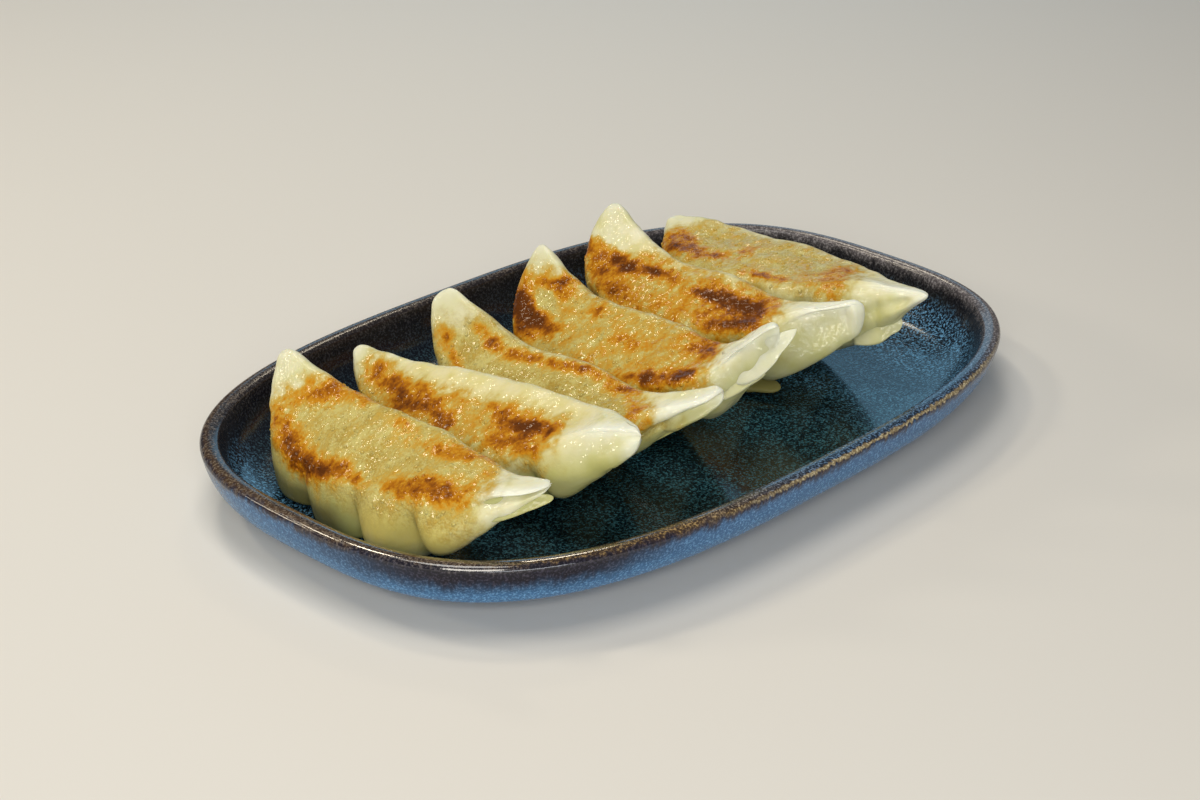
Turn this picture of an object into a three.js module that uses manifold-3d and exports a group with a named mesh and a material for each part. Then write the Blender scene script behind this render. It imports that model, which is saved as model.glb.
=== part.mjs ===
// Six pan-fried dumplings lying side by side, browned side up, on an oval stoneware plate.
// Millimetres, +Z up. The plate stands on Z = 0 with its middle at the origin and its long
// axis along X. Each dumpling lies across the plate, along Y.
import * as THREE from 'three';
import { mergeVertices } from 'three/addons/utils/BufferGeometryUtils.js';
import Module from 'manifold-3d';

const wasm = await Module();
wasm.setup();

// ---------------------------------------------------------------- driving dimensions
// Plate: a rounded rectangle with a rolled lip, a wall that curves in below, and a foot ring.
const PLATE_LENGTH = 226;
const PLATE_WIDTH = 138.5;
const PLATE_SQUARENESS = 2.87;
const PLATE_HEIGHT = 17.5;
const LIP_WIDTH = 4.7;
const FLOOR_HEIGHT = 4.5;
const FLOOR_EDGE = 18.7;
const FLOOR_CURVE = 0.032;
const FOOT_INSET = 20;
const FOOT_WIDTH = 4;
const FOOT_DEPTH = 1.2;
const PLATE_SEGMENTS = 88;

// Dumpling: a round wrapper folded to a half moon, pleated along one side of its seam.
const FRONT_EDGE_RADIUS = 4;
const PINCHED_EDGE_RADIUS = 0.8;
const BACK_EDGE_RADIUS = 2.2;
const FACE_DOME = 0.5;
const FULL_DEPTH = 20;
const LOBE_HEIGHT = 3.4;
const RECESS_DEPTH = 2.2;
const RECESS_HALF = 3;
const EDGE_WAVE = 0.25;
const SEAM_HALF = 1.6;
const FAR_TIP_DEPTH = 5;
const FAR_TIP_HALF = 2.4;
const NEAR_TIP_HALF = 1.7;
const FAR_ARC = [2.2, 0.7];
const LOBES_FADE = [0.5, 0.85];
const NOTCH_GROWS = [0.5, 0.82];
const NOTCH_ENDING = 0.08;
const SLUMP_PLACE = -0.5;
const SLUMP_REACH = 0.3;
const SHOULDER_PLACE = -0.68;
const SHOULDER_REACH = 0.22;
const DRAWS_IN = [0.62, 0.97];
const TIP_START = 0.93;
const TIP_BLUNTNESS = 3;
const LIFT_START = 0.5;
const FAR_HORN_START = 0.15;
const NEAR_HORN_START = 0.3;
const HORN_POWER = 1.3;
const RUMPLE = 0.3;
const SETTLE_SOFTNESS = 0.8;
const SPINE_STEPS = 300;
const RING_SPACING = 0.077;
const CONTACT_GAP = 0.35;

// Each dumpling's place, turn and shape, from the left end of the plate to the right.
// at: middle of the browned face. heading, tilt, pitch and twist: degrees.
// horns: degrees that the far and near tips bend toward the smooth side.
// lift: how far the far and near tips rise out of the face. taper: how late the face narrows.
// bulge: how far the pleated front and the smooth back swell past the face's edges, and how
// full the front stays toward the seam.
// depth: face to seam. tip: seam depth left at the near tip. arc: shape of the near seam.
// valley: where one valley between pleats lies, and the way from each to the next.
// pinch: from where to where the face's front edge draws in, and how far out it stays.
// notch: depth, place down the front, reach and end of the hollow under the pinched edge.
// shoulder: how far the front edge swells out near the far tip, then draws in at the tip.
// slump: how far the belly has sunk toward the front beside the far tip.
const DUMPLINGS = [
  { at: [-87.5, -2.5, 25], heading: -2, tilt: 31, twist: -17.5, pitch: 6, length: 98, width: 25.5,
    horns: [53, 37], lift: [2, 0], taper: [3.1, 2.1], bulge: [8, 2.5, 0.95], depth: 24.5, tip: 2,
    arc: [1.7, 1.5], lean: -5, valley: [-0.36, 0.38], pinch: [0.4, 0.75, 4.3],
    notch: [2.5, 0.16, 0.1, 1.2], shift: 0.45, shoulder: [1.8, 1.9], slump: -8 },
  { at: [-57, -3, 25], heading: 2, tilt: 29, twist: -12.5, pitch: 8.4, length: 98, width: 25.5,
    horns: [31, 12], lift: [0.5, 2.8], taper: [2.2, 4.2], bulge: [4, -2, 0.7], depth: 23, tip: 4.5,
    arc: [1.7, 1.1], lean: -1.5, valley: [0.1, 0.36], pinch: [0.38, 0.74, -0.3],
    notch: [0.8, 0.16, 0.1, 1.2], shift: 0.75, shoulder: [0, 1.9], slump: 0 },
  { at: [-34.6, -6, 24.8], heading: -1.5, tilt: 29, twist: -15, pitch: 7.4, length: 98.5, width: 22.5,
    horns: [58, 60], lift: [6.5, 3.2], taper: [3.6, 1.7], bulge: [-1.5, 3, 0.7], depth: 24, tip: 4.5,
    arc: [1.05, 1.3], lean: 2.5, valley: [0, 0.34], pinch: [0.5, 0.85, 3.3],
    notch: [3.2, 0.3, 0.17, 1], shift: 0.1, shoulder: [1.6, -0.6], slump: 0 },
  { at: [-4.5, -0.5, 25.2], heading: -2, tilt: 28, twist: -14.5, pitch: 8, length: 100.5, width: 26.5,
    horns: [80, 38], lift: [3.2, 11], taper: [3.5, 2.2], bulge: [4, 2.5, 0.7], depth: 25, tip: 6.5,
    arc: [1.1, 0.85], lean: 3, valley: [0.15, 0.33], pinch: [0.5, 0.8, 1.4],
    notch: [1.9, 0.27, 0.28, 1.2], shift: 0.55, shoulder: [0.3, 1.9], slump: 0 },
  { at: [31.5, 6, 26.3], heading: 1.5, tilt: 24, twist: -15, pitch: 4.8, length: 101, width: 23.5,
    horns: [80, 56], lift: [0.5, 2.8], taper: [5, 1.7], bulge: [4, 2.5, 0.7], depth: 23.5, tip: 7.5,
    arc: [1.4, 0.85], lean: -2, valley: [-0.05, 0.45], pinch: [0.48, 0.74, 0.3],
    notch: [3, 0.28, 0.26, 0.95], shift: 0.95, shoulder: [-0.5, 1.7], slump: 0 },
  { at: [61.5, 0.5, 28.8], heading: -0.5, tilt: 6, twist: -13, pitch: 6.2, length: 97, width: 27.5,
    horns: [32, 4], lift: [0, 0], taper: [3.4, 2], bulge: [4, 2.5, 0.7], depth: 24.5, tip: 2,
    arc: [2.4, 1.25], lean: 2, valley: [0.05, 0.34], pinch: [0.42, 0.72, 1],
    notch: [1.7, 0.33, 0.2, 0.95], shift: 0.4, shoulder: [0, 1.9], slump: 0 },
];

// Loose layers and corners of wrapper that stick out of a dumpling, in the plate's frame.
// line: root, middle and tip. facing: where the broad side looks. cup: how far it is dished.
const LEAVES = [
  { piece: 0, line: [[-91.3, -35.1, 22.8], [-87.5, -43.8, 26.7], [-80.5, -50.5, 29.2]],
    halfWidth: 2.7, thickness: 2.6, round: true, facing: [-0.75, -0.35, 0.55], cup: 0.2 },
  { piece: 3, line: [[-2.8, -34.5, 29.5], [-3.1, -46.1, 36.1], [4.3, -49.6, 42.6]],
    halfWidth: 5.5, thickness: 1.7, round: false, facing: [-0.85, -0.3, 0.42], cup: 0.15 },
  { piece: 3, line: [[-6, -30, 23], [-5.6, -40.6, 29.4], [0.9, -43.8, 30]],
    halfWidth: 4, thickness: 1.9, round: false, facing: [-0.8, -0.35, 0.5], cup: 0.2 },
  { piece: 4, line: [[32, -6, 7.6], [33.5, -13, 7.3], [36.8, -22, 7]],
    halfWidth: 4.3, thickness: 3.4, round: true, facing: [-0.3, -0.3, 0.9], cup: 0.05 },
  { piece: 5, line: [[56.5, -29, 19], [59.2, -37, 22.9], [62.6, -40.6, 24.3]],
    halfWidth: 4.4, thickness: 2, round: true, facing: [-0.75, -0.5, 0.4], cup: 0.2 },
];
const LEAF_ROWS = 8;
const LEAF_SIDES = 8;

// ---------------------------------------------------------------- materials
function glazedStoneware() {
  return new THREE.MeshStandardMaterial({ color: 0x2c5478, roughness: 0.22, metalness: 0 });
}

function friedDough() {
  return new THREE.MeshStandardMaterial({ color: 0xd9bd80, roughness: 0.42, metalness: 0 });
}

// ---------------------------------------------------------------- small helpers
const radians = THREE.MathUtils.degToRad;
const smoothstep = THREE.MathUtils.smoothstep;
const lerp = THREE.MathUtils.lerp;

// A closed skin over a row of equal rings, with a fan over each end.
function skinOverRings(rings, firstCentre, lastCentre) {
  const count = rings[0].length;
  const points = rings.flat().concat([firstCentre, lastCentre]);
  const first = points.length - 2;
  const last = points.length - 1;
  const lastRing = (rings.length - 1) * count;
  const faces = [];
  for (let row = 0; row < rings.length - 1; row += 1) {
    for (let column = 0; column < count; column += 1) {
      const next = (column + 1) % count;
      const a = row * count + column;
      const b = row * count + next;
      const c = a + count;
      const d = b + count;
      faces.push(a, b, d, a, d, c);
    }
  }
  for (let column = 0; column < count; column += 1) {
    const next = (column + 1) % count;
    faces.push(first, next, column);
    faces.push(last, lastRing + column, lastRing + next);
  }
  const geometry = new THREE.BufferGeometry().setFromPoints(points);
  geometry.setIndex(faces);
  geometry.computeVertexNormals();
  return geometry;
}

// ---------------------------------------------------------------- plate
// A point of the plate's outline moved inward along its normal, at a height.
function outlinePoint(turn, inset, height) {
  const power = 2 / PLATE_SQUARENESS;
  const cos = Math.cos(turn);
  const sin = Math.sin(turn);
  const x = (PLATE_LENGTH / 2) * Math.sign(cos) * Math.abs(cos) ** power;
  const y = (PLATE_WIDTH / 2) * Math.sign(sin) * Math.abs(sin) ** power;
  const steepness = PLATE_SQUARENESS - 1;
  const nx = Math.sign(x) * Math.abs(x / (PLATE_LENGTH / 2)) ** steepness / PLATE_LENGTH;
  const ny = Math.sign(y) * Math.abs(y / (PLATE_WIDTH / 2)) ** steepness / PLATE_WIDTH;
  const size = Math.hypot(nx, ny);
  return new THREE.Vector3(x - (inset * nx) / size, y - (inset * ny) / size, height);
}

function plateGeometry() {
  const top = PLATE_HEIGHT;
  const floor = FLOOR_HEIGHT;
  const foot = FOOT_INSET;
  // Inset from the outline and height, from under the plate round the lip to the floor.
  const profile = [
    [foot + FOOT_WIDTH + 0.6, FOOT_DEPTH], [foot + FOOT_WIDTH, 0], [foot + 0.6, 0],
    [foot, FOOT_DEPTH], [14, 2.3], [9, 4], [5.1, 6], [2.6, 9], [1, 12.3], [0.2, 15.2],
    [0, top - 1.3], [0.45, top - 0.4], [0.3 * LIP_WIDTH, top], [0.6 * LIP_WIDTH, top],
    [0.9 * LIP_WIDTH, top - 0.5], [LIP_WIDTH, top - 1.6], [LIP_WIDTH + 0.9, top - 4.5],
    [LIP_WIDTH + 2.4, floor + 5.4], [LIP_WIDTH + 5, floor + 2.6], [LIP_WIDTH + 9, floor + 0.8],
    [LIP_WIDTH + 14, floor],
  ];
  const rings = profile.map(([inset, height]) => {
    const ring = [];
    for (let step = 0; step < PLATE_SEGMENTS; step += 1) {
      ring.push(outlinePoint(((step + 0.5) / PLATE_SEGMENTS) * 2 * Math.PI, inset, height));
    }
    return ring;
  });
  const under = new THREE.Vector3(0, 0, FOOT_DEPTH);
  return skinOverRings(rings, under, new THREE.Vector3(0, 0, floor));
}

// ---------------------------------------------------------------- dumpling
// s runs along a dumpling from -1 at the far tip to 1 at the near tip.

// The spine of the browned face, bent to horns at its tips: place and direction at each s.
function makeSpine(piece) {
  const steps = SPINE_STEPS;
  const hornTurn = (s) => {
    const near = Math.max(0, (s - NEAR_HORN_START) / (1 - NEAR_HORN_START)) ** HORN_POWER;
    const far = Math.max(0, (-s - FAR_HORN_START) / (1 - FAR_HORN_START)) ** HORN_POWER;
    return radians(piece.horns[1] * near - piece.horns[0] * far);
  };
  const reach = (s) => {
    const pace = (s * piece.length) / 2 / steps;
    let along = 0;
    let across = 0;
    for (let step = 0; step < steps; step += 1) {
      const turn = hornTurn((s * (step + 0.5)) / steps);
      along += Math.cos(turn) * pace;
      across += Math.sin(turn) * pace;
    }
    return { along, across, turn: hornTurn(s) };
  };
  return reach;
}

// How far the pleated front stands out at s: rounded lobes between folds that cut in.
function lobeAt(piece, s) {
  const [start, spacing] = piece.valley;
  const phase = (s - start) / spacing;
  const part = phase - Math.floor(phase);
  const uneven = 1 + 0.22 * Math.sin(5 * Math.floor(phase) + 9 * piece.shift);
  const fromFold = (Math.min(part, 1 - part) * spacing * piece.length) / 2;
  const lobe = LOBE_HEIGHT * (Math.sin(Math.PI * part ** 0.85) ** 0.85 * uneven - 0.6);
  return lobe - RECESS_DEPTH * Math.exp(-((fromFold / RECESS_HALF) ** 2));
}

// The places along a dumpling where a ring is cut: every valley, evenly between, and the tips.
function stationsOf(piece) {
  const places = [];
  for (const past of [0, 0.35, 0.68, 0.9]) {
    const s = TIP_START + (1 - TIP_START) * past;
    places.push(-s, s);
  }
  const [start, spacing] = piece.valley;
  const step = spacing / Math.round(spacing / RING_SPACING);
  const reach = TIP_START - 0.3 * step;
  for (let s = start - step * Math.floor((start + reach) / step); s < reach; s += step) {
    places.push(s);
  }
  return places.sort((a, b) => a - b);
}

function bezier(points, t) {
  const [p0, p1, p2, p3] = points;
  const u = 1 - t;
  const mix = (i) => u ** 3 * p0[i] + 3 * t * u * u * p1[i] + 3 * t * t * u * p2[i] + t ** 3 * p3[i];
  return [mix(0), mix(1)];
}

// One ring across the dumpling, as [across, normal] pairs. The normal is 0 on the browned
// face and falls to the seam.
function sectionAt(piece, s) {
  const away = Math.abs(s);
  const side = s < 0 ? 0 : 1;
  const tip = side ? NEAR_TIP_HALF : FAR_TIP_HALF;
  const half = tip + (piece.width / 2 - tip) * (1 - away ** piece.taper[side]);
  const tipDepth = side ? piece.tip : FAR_TIP_DEPTH;
  const arc = side ? piece.arc : FAR_ARC;
  const depth = tipDepth + (piece.depth - tipDepth) * (1 - away ** arc[0]) ** arc[1];
  const full = (1 - away ** 3) * Math.min(1, depth / FULL_DEPTH);
  const lobe = lobeAt(piece, s) * (1 - smoothstep(away, ...LOBES_FADE));
  const slump = piece.slump * Math.exp(-(((s - SLUMP_PLACE) / SLUMP_REACH) ** 2));
  const lean = piece.lean * (1 - away ** 2) + slump;
  const [pinchStart, pinchEnd, pinchedHalf] = piece.pinch;
  const pinch = smoothstep(s, pinchStart, pinchEnd);
  const pinched = lerp(half, Math.min(pinchedHalf, half), pinch);
  const [shoulder, drawIn] = piece.shoulder;
  const swelling = shoulder * Math.exp(-(((s - SHOULDER_PLACE) / SHOULDER_REACH) ** 2));
  const frontAt = pinched + swelling - drawIn * smoothstep(-s, ...DRAWS_IN);
  const frontRadius = Math.min(lerp(FRONT_EDGE_RADIUS, PINCHED_EDGE_RADIUS, pinch), 0.45 * half);
  const backRadius = Math.min(BACK_EDGE_RADIUS, 0.45 * half);
  const frontDrop = Math.min(frontRadius, 0.4 * depth);
  const backDrop = Math.min(backRadius, 0.4 * depth);
  const [deep, place, wide, until] = piece.notch;
  const notchEnds = 1 - smoothstep(s, until - NOTCH_ENDING, until);
  const notchHere = smoothstep(s, ...NOTCH_GROWS) * notchEnds;
  const notch = Math.min(deep * notchHere, 0.6 * half);
  const ring = [];

  // Browned face, from the back edge to the front edge.
  for (const t of [1, 0.75, 0.5, 0.25, 0]) {
    const across = lerp(-(frontAt - frontRadius), half - backRadius, t);
    ring.push([across, FACE_DOME * (1 - (across / half) ** 2) * (1 - away ** 2)]);
  }

  // Front edge, rounded until it runs on into the swelling front.
  const swell = Math.max(piece.bulge[0] * full, 0);
  const turn = Math.atan2(Math.max(0.36 * depth - frontDrop, 1), swell);
  for (const share of [0.5, 1]) {
    const a = turn * share;
    ring.push([
      -(frontAt - frontRadius) - frontRadius * Math.sin(a) - EDGE_WAVE * lobe * share,
      -frontDrop * (1 - Math.cos(a))]);
  }

  // Lobed front, from the face down to the seam.
  const seam = Math.min(SEAM_HALF, 0.6 * half);
  const front = [
    [-(frontAt - frontRadius) - frontRadius * Math.sin(turn), -frontDrop * (1 - Math.cos(turn))],
    [-half - piece.bulge[0] * full, -0.36 * depth],
    [lean - seam - piece.bulge[2] * (half - seam), -depth], [lean - seam, 0.5 - depth],
  ];
  for (const t of [0.08, 0.17, 0.28, 0.42, 0.57, 0.72, 0.87, 1]) {
    const [across, normal] = bezier(front, t);
    const grow = lerp(EDGE_WAVE, 1, smoothstep(t, 0, 0.4));
    const hollow = notch * Math.exp(-(((t - place) / wide) ** 2));
    ring.push([across - lobe * grow + hollow, normal]);
  }
  ring.push([lean, -depth]);

  // Smooth back, from the seam up to the face.
  const back = [
    [half, -backDrop], [half + piece.bulge[1] * full, -0.38 * depth],
    [lean + seam + 0.45 * (half - seam), -depth], [lean + seam, 0.5 - depth],
  ];
  for (const t of [1, 0.82, 0.62, 0.42, 0.2, 0]) {
    ring.push(bezier(back, t));
  }
  ring.push([half - 0.3 * backRadius, -0.3 * backDrop]);
  return ring;
}

// Height of the plate's floor under a place. It rises toward the wall.
function floorUnder(x, y) {
  const halfLength = PLATE_LENGTH / 2;
  const halfWidth = PLATE_WIDTH / 2;
  const squareness = PLATE_SQUARENESS;
  const along = Math.abs(x) / halfLength;
  const across = Math.abs(y) / halfWidth;
  const reach = (along ** squareness + across ** squareness) ** (1 / squareness);
  const steepness = squareness - 1;
  const slope = Math.hypot(along ** steepness / halfLength, across ** steepness / halfWidth);
  const inset = (1 - reach) * reach ** steepness / slope;
  return FLOOR_HEIGHT + FLOOR_CURVE * Math.max(0, FLOOR_EDGE - inset) ** 2;
}

// Height over the plate's floor once soft dough has settled: unchanged well above it, and
// never quite 0 below.
function settle(above) {
  return SETTLE_SOFTNESS * Math.log1p(Math.exp(above / SETTLE_SOFTNESS));
}

// Small unevenness of soft dough, the same at the same place on a dumpling.
function rumple(piece, along, across) {
  const wave = Math.sin(0.23 * along + 7 * piece.shift) + Math.sin(0.16 * across - 0.12 * along);
  return RUMPLE * wave;
}

function middleOf(points) {
  return points.reduce((sum, p) => sum.add(p), new THREE.Vector3()).divideScalar(points.length);
}

function closedSkin(rings) {
  return skinOverRings(rings, middleOf(rings[0]), middleOf(rings[rings.length - 1]));
}

function dumplingGeometry(piece, toPlate) {
  const toDumpling = toPlate.clone().invert();
  const spine = makeSpine(piece);
  return closedSkin(stationsOf(piece).map((s) => {
    const { along, across, turn } = spine(s);
    const tilt = radians(piece.tilt + piece.twist * s);
    const liftAt = smoothstep(Math.abs(s), LIFT_START, 1.25) / smoothstep(1, LIFT_START, 1.25);
    const lift = piece.lift[s < 0 ? 0 : 1] * liftAt;
    const past = Math.max(0, (Math.abs(s) - TIP_START) / (1 - TIP_START));
    const closing = Math.sqrt(1 - past ** TIP_BLUNTNESS);
    const ring = sectionAt(piece, s);
    const middle = ring.reduce((sum, [, normal]) => sum + normal, 0) / ring.length;
    return ring.map(([side, normal]) => {
      const x = along - side * closing * Math.sin(turn);
      const y = across + side * closing * Math.cos(turn);
      const z = lerp(middle, normal, closing) + lift + rumple(piece, x, y);
      const point = new THREE.Vector3(
        y * Math.cos(tilt) - z * Math.sin(tilt), -x, y * Math.sin(tilt) + z * Math.cos(tilt));
      // Soft dough that would pass the plate's floor settles on it instead.
      point.applyMatrix4(toPlate);
      const rest = floorUnder(point.x, point.y) + CONTACT_GAP;
      point.z = rest + settle(point.z - rest);
      return point.applyMatrix4(toDumpling);
    });
  }));
}

// A leaf of wrapper from its root inside the dumpling to its tip, in the plate's frame.
function leafGeometry(leaf) {
  const [root, middle, end] = leaf.line.map((point) => new THREE.Vector3(...point));
  const curve = new THREE.QuadraticBezierCurve3(root, middle, end);
  const rings = [];
  for (let row = 0; row < LEAF_ROWS; row += 1) {
    const t = Math.sin(lerp(0.03, Math.PI / 2 - 0.06, row / (LEAF_ROWS - 1)));
    const centre = curve.getPoint(t);
    const course = curve.getTangent(t);
    const wide = new THREE.Vector3().crossVectors(course, new THREE.Vector3(...leaf.facing));
    wide.normalize();
    const out = new THREE.Vector3().crossVectors(wide, course);
    const swell = 0.72 + 0.28 * Math.sin(Math.PI * Math.min(t / 0.7, 1));
    const closing = leaf.round ? (1 - t ** 5) ** 0.5 : (1 - t ** 2.4) ** 0.85;
    const half = leaf.halfWidth * swell * closing;
    const thick = (leaf.thickness / 2) * (1 - 0.35 * t) * (1 - t ** 6) ** 0.5;
    const ring = [];
    for (let step = 0; step < LEAF_SIDES; step += 1) {
      const a = (-2 * Math.PI * step) / LEAF_SIDES;
      const rise = thick * Math.sin(a) + leaf.cup * half * Math.cos(a) ** 2;
      ring.push(centre.clone().addScaledVector(wide, half * Math.cos(a)).addScaledVector(out, rise));
    }
    rings.push(ring);
  }
  return closedSkin(rings);
}

// ---------------------------------------------------------------- joining
function toSolid(geometry) {
  const bare = geometry.clone();
  bare.deleteAttribute('normal');
  bare.deleteAttribute('uv');
  const merged = mergeVertices(bare);
  const vertProperties = new Float32Array(merged.attributes.position.array);
  const triVerts = new Uint32Array(merged.index.array);
  return new wasm.Manifold(new wasm.Mesh({ numProp: 3, vertProperties, triVerts }));
}

function toGeometry(solid) {
  const { vertProperties, triVerts } = solid.getMesh();
  const geometry = new THREE.BufferGeometry();
  geometry.setAttribute('position', new THREE.BufferAttribute(vertProperties, 3));
  geometry.setIndex(new THREE.BufferAttribute(triVerts, 1));
  geometry.computeVertexNormals();
  return geometry;
}

// The dumpling with its leaves fused on, in the dumpling's own frame.
function withLeaves(geometry, toPlate, leaves) {
  const toDumpling = toPlate.clone().invert();
  const grow = (solid, leaf) => solid.add(toSolid(leafGeometry(leaf).applyMatrix4(toDumpling)));
  return toGeometry(leaves.reduce(grow, toSolid(geometry)));
}

// ---------------------------------------------------------------- the whole
const group = new THREE.Group();

const plate = new THREE.Mesh(plateGeometry(), glazedStoneware());
plate.name = 'plate';
group.add(plate);

DUMPLINGS.forEach((piece, index) => {
  const mesh = new THREE.Mesh(new THREE.BufferGeometry(), friedDough());
  mesh.name = `dumpling_${index + 1}`;
  mesh.position.set(...piece.at);
  mesh.rotation.set(radians(-piece.pitch), 0, radians(piece.heading), 'ZXY');
  mesh.updateMatrix();
  const leaves = LEAVES.filter((leaf) => leaf.piece === index);
  mesh.geometry = withLeaves(dumplingGeometry(piece, mesh.matrix), mesh.matrix, leaves);
  group.add(mesh);
});

export default group;
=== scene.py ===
# %% [markdown]
# # Pan-fried dumplings on a stoneware plate
# Six half-moon dumplings lie in a row, browned side up, on a glazed plate with rounded ends.
# Solids for the plate and each dumpling already exist; this lesson dresses them. The plate is
# a profile swept round an outline with Geometry Nodes. Each dumpling is a skin of rings worked
# out with numpy from the same sizes as its solid, only much finer, and Geometry Nodes then add
# what a hot pan adds: a rough crust and small blisters.

# %% Load the solids
import math
from types import SimpleNamespace
import bpy
import numpy as np
from mathutils import Matrix, Vector


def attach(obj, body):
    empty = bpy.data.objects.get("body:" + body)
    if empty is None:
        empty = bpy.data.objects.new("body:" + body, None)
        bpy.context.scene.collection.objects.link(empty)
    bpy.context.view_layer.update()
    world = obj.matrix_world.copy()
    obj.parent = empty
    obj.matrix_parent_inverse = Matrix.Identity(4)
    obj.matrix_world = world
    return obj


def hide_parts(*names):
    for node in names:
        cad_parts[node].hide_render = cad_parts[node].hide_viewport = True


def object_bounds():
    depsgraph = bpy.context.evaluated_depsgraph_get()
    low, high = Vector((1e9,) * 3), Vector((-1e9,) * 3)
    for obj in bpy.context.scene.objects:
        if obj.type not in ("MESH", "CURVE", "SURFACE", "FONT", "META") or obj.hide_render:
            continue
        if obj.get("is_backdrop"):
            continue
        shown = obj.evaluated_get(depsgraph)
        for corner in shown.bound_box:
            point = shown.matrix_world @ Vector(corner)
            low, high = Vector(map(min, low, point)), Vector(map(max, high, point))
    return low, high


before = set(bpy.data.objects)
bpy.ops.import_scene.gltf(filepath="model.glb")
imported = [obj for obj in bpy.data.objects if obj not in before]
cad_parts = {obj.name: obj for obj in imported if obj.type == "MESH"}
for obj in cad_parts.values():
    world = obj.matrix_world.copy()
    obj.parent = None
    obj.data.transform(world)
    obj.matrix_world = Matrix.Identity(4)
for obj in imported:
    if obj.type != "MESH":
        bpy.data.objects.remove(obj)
cad_low, cad_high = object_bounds()
scene = bpy.context.scene
print("solids:", ", ".join(sorted(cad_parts)))
print("their box, mm:", [round(1000 * (b - a), 1) for a, b in zip(cad_low, cad_high)])

# %% [markdown]
# Food and plates are measured in millimetres, while Blender works in metres. All sizes below
# are in millimetres and are scaled in one place, where a mesh is made. A skin here is a grid:
# rings of points, one after another, with a single point closing each end. Such a grid could
# also be lofted by hand, but a helper keeps every piece closed and facing outward.

# %% From millimetres to meshes
MM = 0.001


def smoothstep(x, low, high):
    t = np.clip((x - low) / (high - low), 0, 1)
    return t * t * (3 - 2 * t)


def grid_faces(rows, ring):
    """Quads between closed rings, and a fan of triangles to one point at each end."""
    faces = []
    for row in range(rows - 1):
        for column in range(ring):
            following = (column + 1) % ring
            a, b = row * ring + column, row * ring + following
            faces.append((a, b, b + ring, a + ring))
    first, last, start = rows * ring, rows * ring + 1, (rows - 1) * ring
    for column in range(ring):
        following = (column + 1) % ring
        faces.append((first, following, column))
        faces.append((last, start + column, start + following))
    return faces


def mesh_from(name, points, faces):
    mesh = bpy.data.meshes.new(name)
    mesh.from_pydata((np.asarray(points) * MM).tolist(), [], faces)
    mesh.polygons.foreach_set("use_smooth", [True] * len(mesh.polygons))
    mesh.update()
    return mesh


def place(name, mesh):
    thing = bpy.data.objects.new(name, mesh)
    scene.collection.objects.link(thing)
    return thing


def note_on_points(mesh, name, values):
    """Keeps one number for each point, for the nodes to read."""
    layer = mesh.attributes.new(name, "FLOAT", "POINT")
    layer.data.foreach_set("value", np.asarray(values, np.float32).ravel())


# %% [markdown]
# The camera comes first, so that every look is judged from the same place. It stands at the
# left end of the plate, a little more than half a metre away, and looks down at about 25
# degrees. A long lens keeps the row from looking stretched. There is no depth of field.

# %% Camera
LOOK_AT = Vector((-2.9, 5.4, 7.5)) * MM
CAMERA_DISTANCE = 605.7 * MM
CAMERA_SIDE = math.radians(-48.66)
CAMERA_HEIGHT = math.radians(25.45)
CAMERA_ROLL = math.radians(1.96)
CAMERA_LENS = 71.16

away = Vector((
    math.sin(CAMERA_SIDE) * math.cos(CAMERA_HEIGHT),
    -math.cos(CAMERA_SIDE) * math.cos(CAMERA_HEIGHT),
    math.sin(CAMERA_HEIGHT),
))
camera = bpy.data.objects.new("camera", bpy.data.cameras.new("camera"))
camera.data.lens = CAMERA_LENS
camera.data.clip_start = 0.01
turn = Matrix.Rotation(CAMERA_ROLL, 4, away) @ away.to_track_quat("Z", "Y").to_matrix().to_4x4()
camera.matrix_world = Matrix.Translation(LOOK_AT + away * CAMERA_DISTANCE) @ turn
scene.collection.objects.link(camera)
scene.camera = camera
print("camera at, mm:", [round(1000 * x) for x in camera.location])

# %% [markdown]
# Wet dough and glaze are judged by their reflections, so the light is a set of soft panels. A
# large one hangs overhead, and a bluish one far behind gives the flat floor of the plate its
# sheen. Four small warm ones behind make the oil glint. A broad one fills the near side, and a
# long low one lights the outer wall of the plate, which the others only graze.

# %% Light
GLINT = (1, 0.88, 0.68)
# name: place, what it is aimed at, size, power in watts, colour
PANELS = {
    "overhead_panel": ((-120, 60, 900), (0, 0, 10), (460, 380), 2.8, (1, 0.97, 0.9)),
    "back_panel": ((600, 545, 270), (0, 0, 0), (520, 230), 0.46, (0.3, 0.68, 1)),
    "glint_panel": ((40, 480, 800), (0, 0, 10), (130, 110), 1.15, GLINT),
    "side_glint_panel": ((-330, 560, 700), (0, 0, 10), (130, 110), 1.15, GLINT),
    "left_glint_panel": ((-600, 600, 340), (0, 0, 10), (150, 120), 1.2, GLINT),
    "right_glint_panel": ((520, 480, 640), (0, 0, 10), (110, 90), 0.4, GLINT),
    "near_fill": ((-720, -590, 490), (0, 0, 10), (500, 400), 5.8, (1, 0.95, 0.84)),
    "low_front_panel": ((-420, -800, 110), (-40, -50, 10), (560, 120), 1.3, (0.92, 0.96, 1)),
}
SKY_COLOUR = (0.95, 0.96, 1, 1)
SKY_STRENGTH = 0.1


def soft_panel(name, place_mm, aim_mm, size_mm, power, colour):
    light = bpy.data.lights.new(name, "AREA")
    light.shape = "RECTANGLE"
    light.size, light.size_y = size_mm[0] * MM, size_mm[1] * MM
    light.energy = power
    light.color = colour
    panel = bpy.data.objects.new(name, light)
    panel.location = Vector(place_mm) * MM
    toward = Vector(aim_mm) * MM - panel.location
    panel.rotation_euler = toward.to_track_quat("-Z", "Y").to_euler()
    scene.collection.objects.link(panel)


for name, row in PANELS.items():
    soft_panel(name, *row)

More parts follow.
